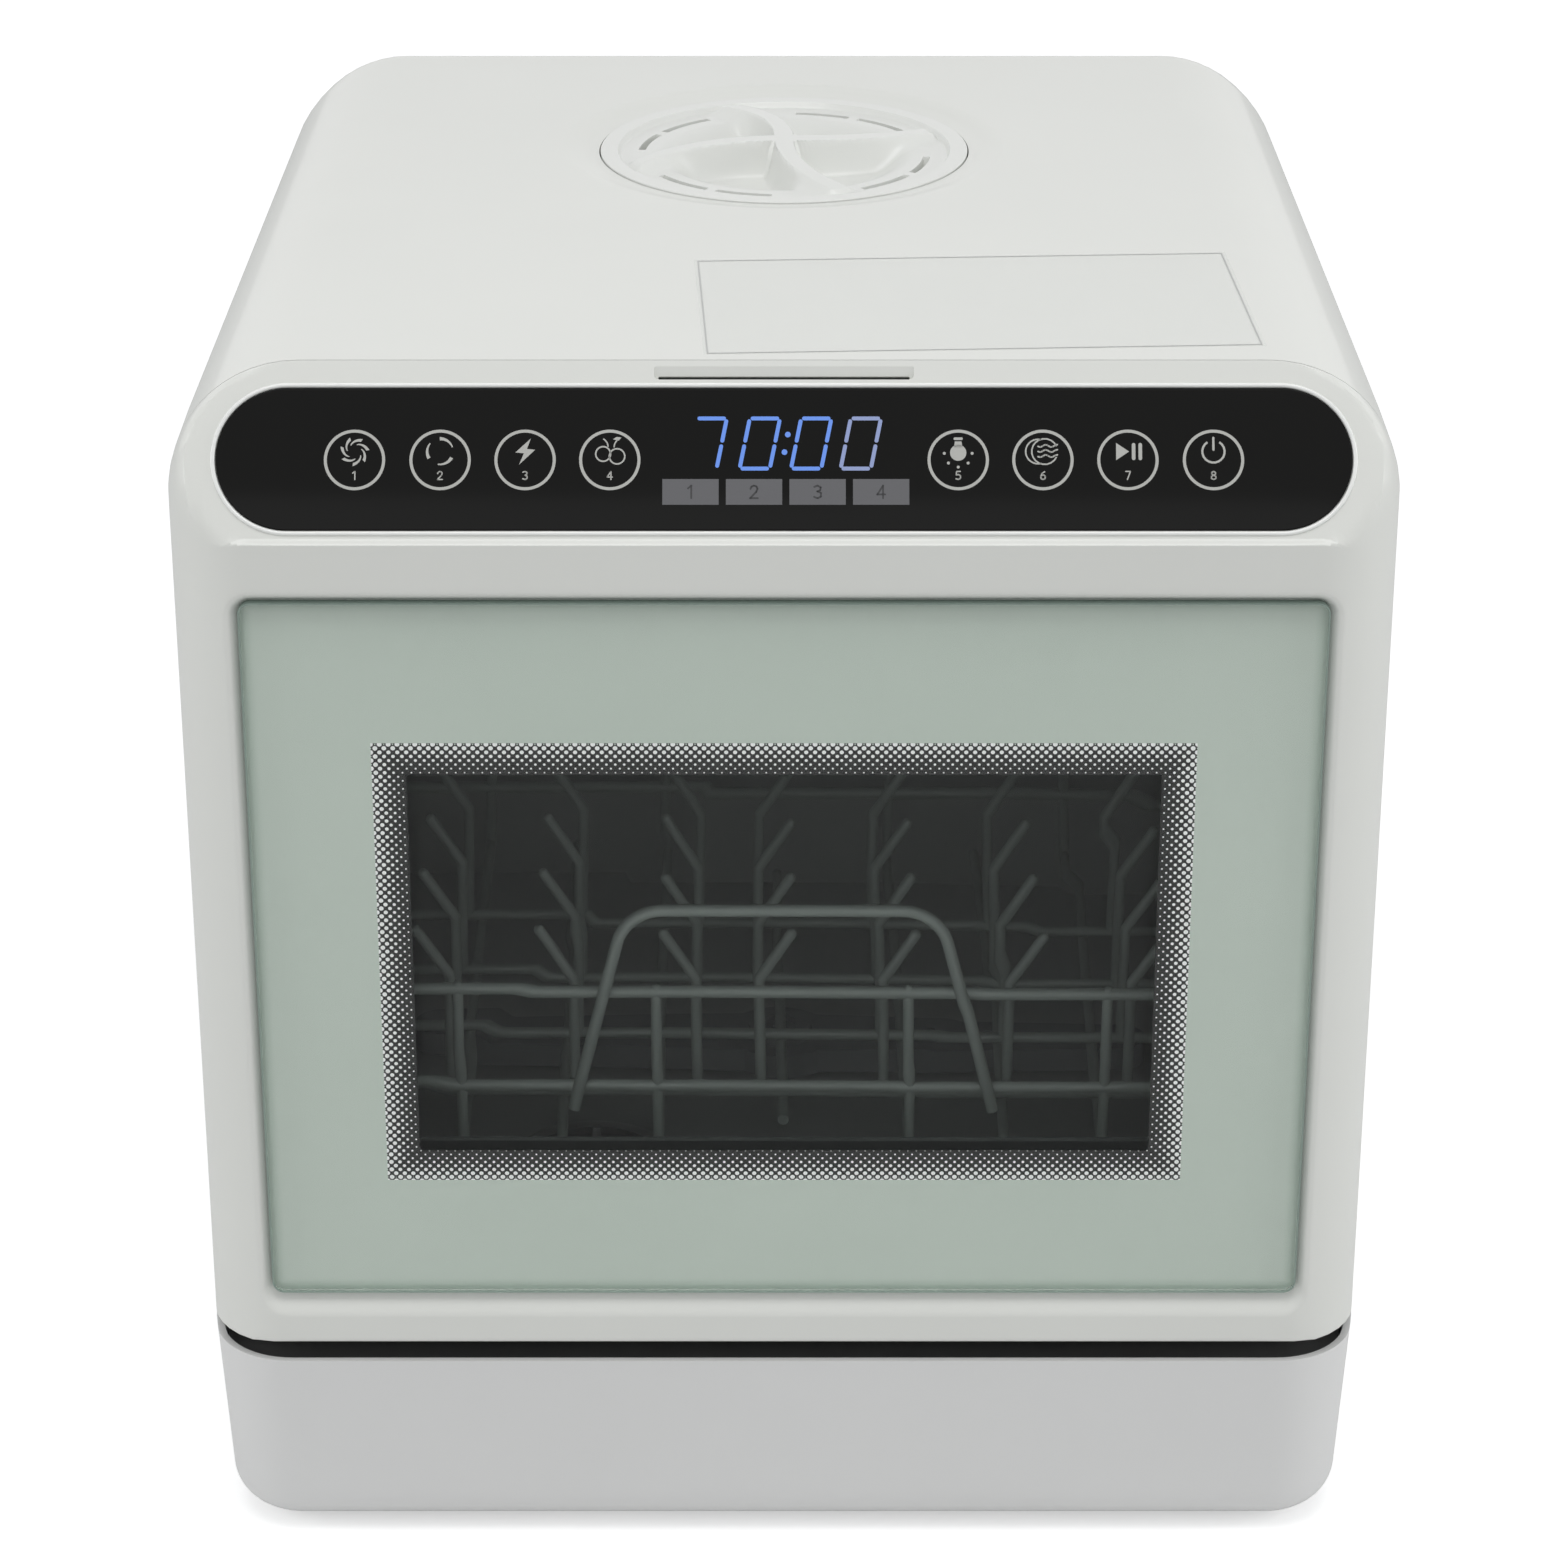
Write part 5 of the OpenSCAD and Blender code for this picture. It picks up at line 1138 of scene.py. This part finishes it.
def picture(key, x, up):
    """Outlines and rings of one key's picture round its middle."""
    at = lambda *pts: np.array(pts, float) + (x, up)
    if key == 0:  # swirl
        turns = np.arange(7) * 360 / 7 + 20
        return [bow((x, up), 2.4, a, a - 66, 0.35, 1.1, 4.4) for a in turns], []
    if key == 1:  # three turning arrows
        return [bow((x, up), 4.3, a, a + 72, 0.4, 1.15) for a in (20, 140, 260)], []
    if key == 2:  # flash
        return [at((1.9, 4.4), (-3.2, -0.3), (-0.4, -0.6), (-2.0, -4.4), (3.3, 0.6),
            (0.6, 0.9))], []
    if key == 3:  # two fruits on stems, with a leaf
        stems = [bow((x - 3.6, up + 1.6), 3.0, 0, 62, 0.45),
            bow((x + 4.6, up + 1.4), 3.2, 180, 128, 0.45)]
        leaf = at((1.0, 4.1), (2.2, 4.9), (3.9, 4.7), (2.9, 3.7))
        return stems + [leaf], [(x - 2.2, up - 0.8, 2.7, 2.2), (x + 2.4, up - 1.6, 2.8, 2.3)]
    if key == 4:  # lamp with rays
        turns = np.radians([0, -45, -90, -135, 180])
        rays = at(*np.stack([4.6 * np.cos(turns), 4.6 * np.sin(turns) - 0.6], -1))
        cap = [at((-1.4, 1.4), (1.4, 1.4), (1.1, 3.4), (-1.1, 3.4)),
            bar(*at((-1.1, 4.3), (1.1, 4.3)), 0.9)]
        return [disc(ray, 0.5, 12) for ray in rays] + [disc((x, up - 0.4), 2.7, 28)] + cap, []
    if key == 5:  # two rings with waves of air
        u = np.linspace(-1.6, 4.8, 9)
        waves = [strokes(at(*np.stack([u, k + 0.45 * np.sin(u * 1.7)], -1)), 0.5)
            for k in (-1.5, 0.2, 1.9)]
        return sum(waves, []) + [bow((x + 0.6, up), 4.3, 25, 335, 0.5),
            bow((x - 1.6, up), 4.1, 75, 285, 0.5)], []
    if key == 6:  # start and pause
        bars = [bar(*at((k, -2.3), (k, 2.3)), 1.2) for k in (1.9, 4.1)]
        return [at((-3.9, -2.9), (0.4, 0.0), (-3.9, 2.9))] + bars, []
    # on and off
    return [bow((x, up), 3.7, 122, 418, 0.7), bar(*at((0, 0.6), (0, 4.6)), 0.75)], []


# %% Keys and stage lamps
KEYS = [-142.0, -113.7, -85.6, -57.6, 57.6, 85.6, 113.7, 142.0]
LAMPS = [-30.9, -9.9, 11.1, 32.1]
KEY_UP, PICTURE_UP, NUMBER_UP, LAMP_UP = PANEL_MID - 0.3, 2.8, -5.2, PANEL_MID - 11.0
LAMP_HALF, LAMP_TALL = 9.3, 4.3
RING_OUT, RING_IN = 10.15, 9.15
outlines, rings = [], []
for key, x in enumerate(KEYS):
    shapes, circles = picture(key, x, KEY_UP + PICTURE_UP)
    outlines += shapes + number(key + 1, x, KEY_UP + NUMBER_UP, 2.7, 0.42)
    rings += circles + [(x, KEY_UP, RING_OUT, RING_IN)]
# flat, even inks: pale ones read on the black, a smoky grey looks like lamps that are off
mark_ink = moulded("pale_grey_screen_print", "#b9b9b4", 0.5, grain=0.0, tone=0.01)
lamp_grey = moulded("smoke_grey_screen_print", "#5e5e61", 0.4, grain=0.0, tone=0.01)
number_grey = moulded("dark_grey_screen_print", "#323234", 0.5, grain=0.0, tone=0.01)
flat_marks("key_marks", outlines, rings, mark_ink, "pale_plastic")
oblong = np.array([(-LAMP_HALF, -LAMP_TALL), (LAMP_HALF, -LAMP_TALL), (LAMP_HALF, LAMP_TALL),
    (-LAMP_HALF, LAMP_TALL)])
points, faces = joined([plate(oblong + (x, LAMP_UP), MARK_LOW - 0.04, MARK_TOP - 0.03)
    for x in LAMPS])
make_piece("stage_lamps", on_panel(points), faces, lamp_grey, "door", slot="grey_plastic",
    merge=1e-8)
numbers = [number(i + 1, x, LAMP_UP, 4.2, 0.6) for i, x in enumerate(LAMPS)]
flat_marks("stage_numbers", sum(numbers, []), [], number_grey, "black_plastic")

# %% [markdown]
# The clock glows through the bar in cool blue, as seven-bar digits that lean
# to the right by a fifth of their height. An emission keeps each bar lit
# without a lamp of its own. The last digit is half lit, as a display is when
# it changes, so it is a dimmer piece of its own.

# %% Clock digits
BARS = {"a": ((-1, 1), (1, 1)), "b": ((1, 1), (1, 0)), "c": ((1, 0), (1, -1)),
    "d": ((-1, -1), (1, -1)), "e": ((-1, 0), (-1, -1)), "f": ((-1, 1), (-1, 0))}
LIT = {0: "abcdef", 7: "abc"}
DIGIT_HALF, DIGIT_UP, BAR_WIDE, LEAN = 5.0, 8.4, 1.3, 0.2
CLOCK_UP, DOT_R = PANEL_MID + 5.2, 0.95


def clock_digit(value, x):
    """Bars of a seven-bar digit; each bar stops short of the corners it points to."""
    out = []
    for name in LIT[value]:
        a, b = (np.array(p, float) * (DIGIT_HALF, DIGIT_UP) for p in BARS[name])
        gap = (b - a) / np.linalg.norm(b - a) * (BAR_WIDE * 0.72)
        ends = [(p[0] + LEAN * p[1] + x, p[1] + CLOCK_UP) for p in (a + gap, b - gap)]
        out.append(bar(*ends, BAR_WIDE))
    return out


def lit(name, code, strength):
    """A lit display bar: its own light and a faint coloured skin."""
    material, tree = new_material(name)
    skin = add_node(tree, "BsdfPrincipled", {"Base Color": linear(code), "Roughness": 0.4,
        "Emission Color": linear(code), "Emission Strength": strength})
    add_node(tree, "OutputMaterial", {"Surface": skin.outputs[0]})
    return material


# clear cool blue against the black, and the same blue fading to grey
blue = lit("blue_led_segment_lit", "#5b82d0", 0.4)
fading = lit("blue_led_segment_fading", "#8592ba", 0.24)
bright = clock_digit(7, -25.6) + clock_digit(0, -8.0) + clock_digit(0, 9.0)
bright += [disc((1.25, CLOCK_UP + 3.0), DOT_R, 16), disc((0.15, CLOCK_UP - 2.9), DOT_R, 16)]
flat_marks("clock_digits", bright, [], blue, "lamp_lens")
flat_marks("clock_last_digit", clock_digit(0, 25.4), [], fading, "lamp_lens")

# %% [markdown]
# ## Protective film
#
# New machines carry a clear film on the top. It is a sheet of 0.1 mm with a
# thin grey line just inside its edge; the sheet itself is left blank. As glass,
# two faces this close together would only add noise, so the film is a mostly
# transparent skin with a weak gloss.

# %% Film on the top
FILM_MID, FILM_SIZE, FILM_TURN = np.array([64.8, 94.3]), (188.5, 102.6), math.radians(2.8)
FILM_LOW, FILM_TOP, BORDER_TOP = 0.02, 0.12, 0.14


def film_outline(inset):
    """Corners of the film drawn in by an inset, turned a little as hand-laid film is."""
    w, h = FILM_SIZE[0] / 2 - inset, FILM_SIZE[1] / 2 - inset
    c, s = math.cos(FILM_TURN), math.sin(FILM_TURN)
    square = np.array([(-w, -h), (w, -h), (w, h), (-w, h)])
    return square @ np.array([(c, s), (-s, c)]) + FILM_MID


def thin_film(name, code, alpha):
    """A film too thin to bend light: mostly see-through, with a weak gloss of its own."""
    material, tree = new_material(name)
    skin = add_node(tree, "BsdfPrincipled", {"Base Color": linear(code), "Roughness": 0.25,
        "Alpha": alpha})
    add_node(tree, "OutputMaterial", {"Surface": skin.outputs[0]})
    return material


# hardly there: the sheet shows by its border and a slight veil
film_clear = thin_film("clear_pvc_film_cast", "#f4f6f5", 0.06)
sheet = plate(film_outline(0.0), BODY_H + FILM_LOW, BODY_H + FILM_TOP)
make_piece("protective_film", *sheet, film_clear, "body", slot="clear_glass")
# a thin grey line just inside the film's edge
border_grey = moulded("grey_film_border_line", "#bfc0be", 0.5, grain=0.0, tone=0.01)
wide, slim = film_outline(1.2), film_outline(1.7)
border = np.array([np.column_stack([line, np.full(4, BODY_H + z)]) for line, z in
    ((wide, FILM_TOP), (slim, FILM_TOP), (slim, BORDER_TOP), (wide, BORDER_TOP))])
make_piece("film_border", *ringed(border), border_grey, "body", slot="grey_plastic",
    merge=1e-8)

# %% [markdown]
# ## Finishes of the parts inside
#
# The parts behind the glass and at the back keep their CAD meshes, which are
# exact. Each takes the finish of its record slot, so a part added later is
# dressed too. A few parts share a slot but not a substance, so they are named
# one by one.

# %% Materials on the CAD nodes
FINISH = {
    "white_shell": cover_abs, "base_white": base_abs, "black_glass": acrylic,
    "green_glass": front_pane, "clear_glass": smoked_pane, "chamber_grey": chamber_pp,
    "liner_grey": liner_pp, "coated_wire": wire_nylon, "dark_rubber": rubber_epdm,
    "black_plastic": black_pp, "steel": plated_steel, "tank_plastic": natural_pp,
    "pump_plastic": pump_nylon, "pale_plastic": acetal, "circuit_board": solder_mask,
    "grey_plastic": grey_pp, "lamp_lens": lens_pc, "mesh_steel": stainless_mesh,
}
BY_NODE = {"sill_tray": sill_pp_painted_light, "display_module": solder_mask, "drain_hose": grey_pp,
    "fill_hose": grey_pp}
slot_of = {part["node"]: part["material_slot"] for part in frame["record"]["subparts"]}
for name, node in frame["nodes"].items():
    finish = BY_NODE.get(name, FINISH[slot_of[name]])
    if node.data.materials:
        for index in range(len(node.data.materials)):
            node.data.materials[index] = finish
    else:
        node.data.materials.append(finish)
print("dressed CAD nodes:", len(frame["nodes"]))
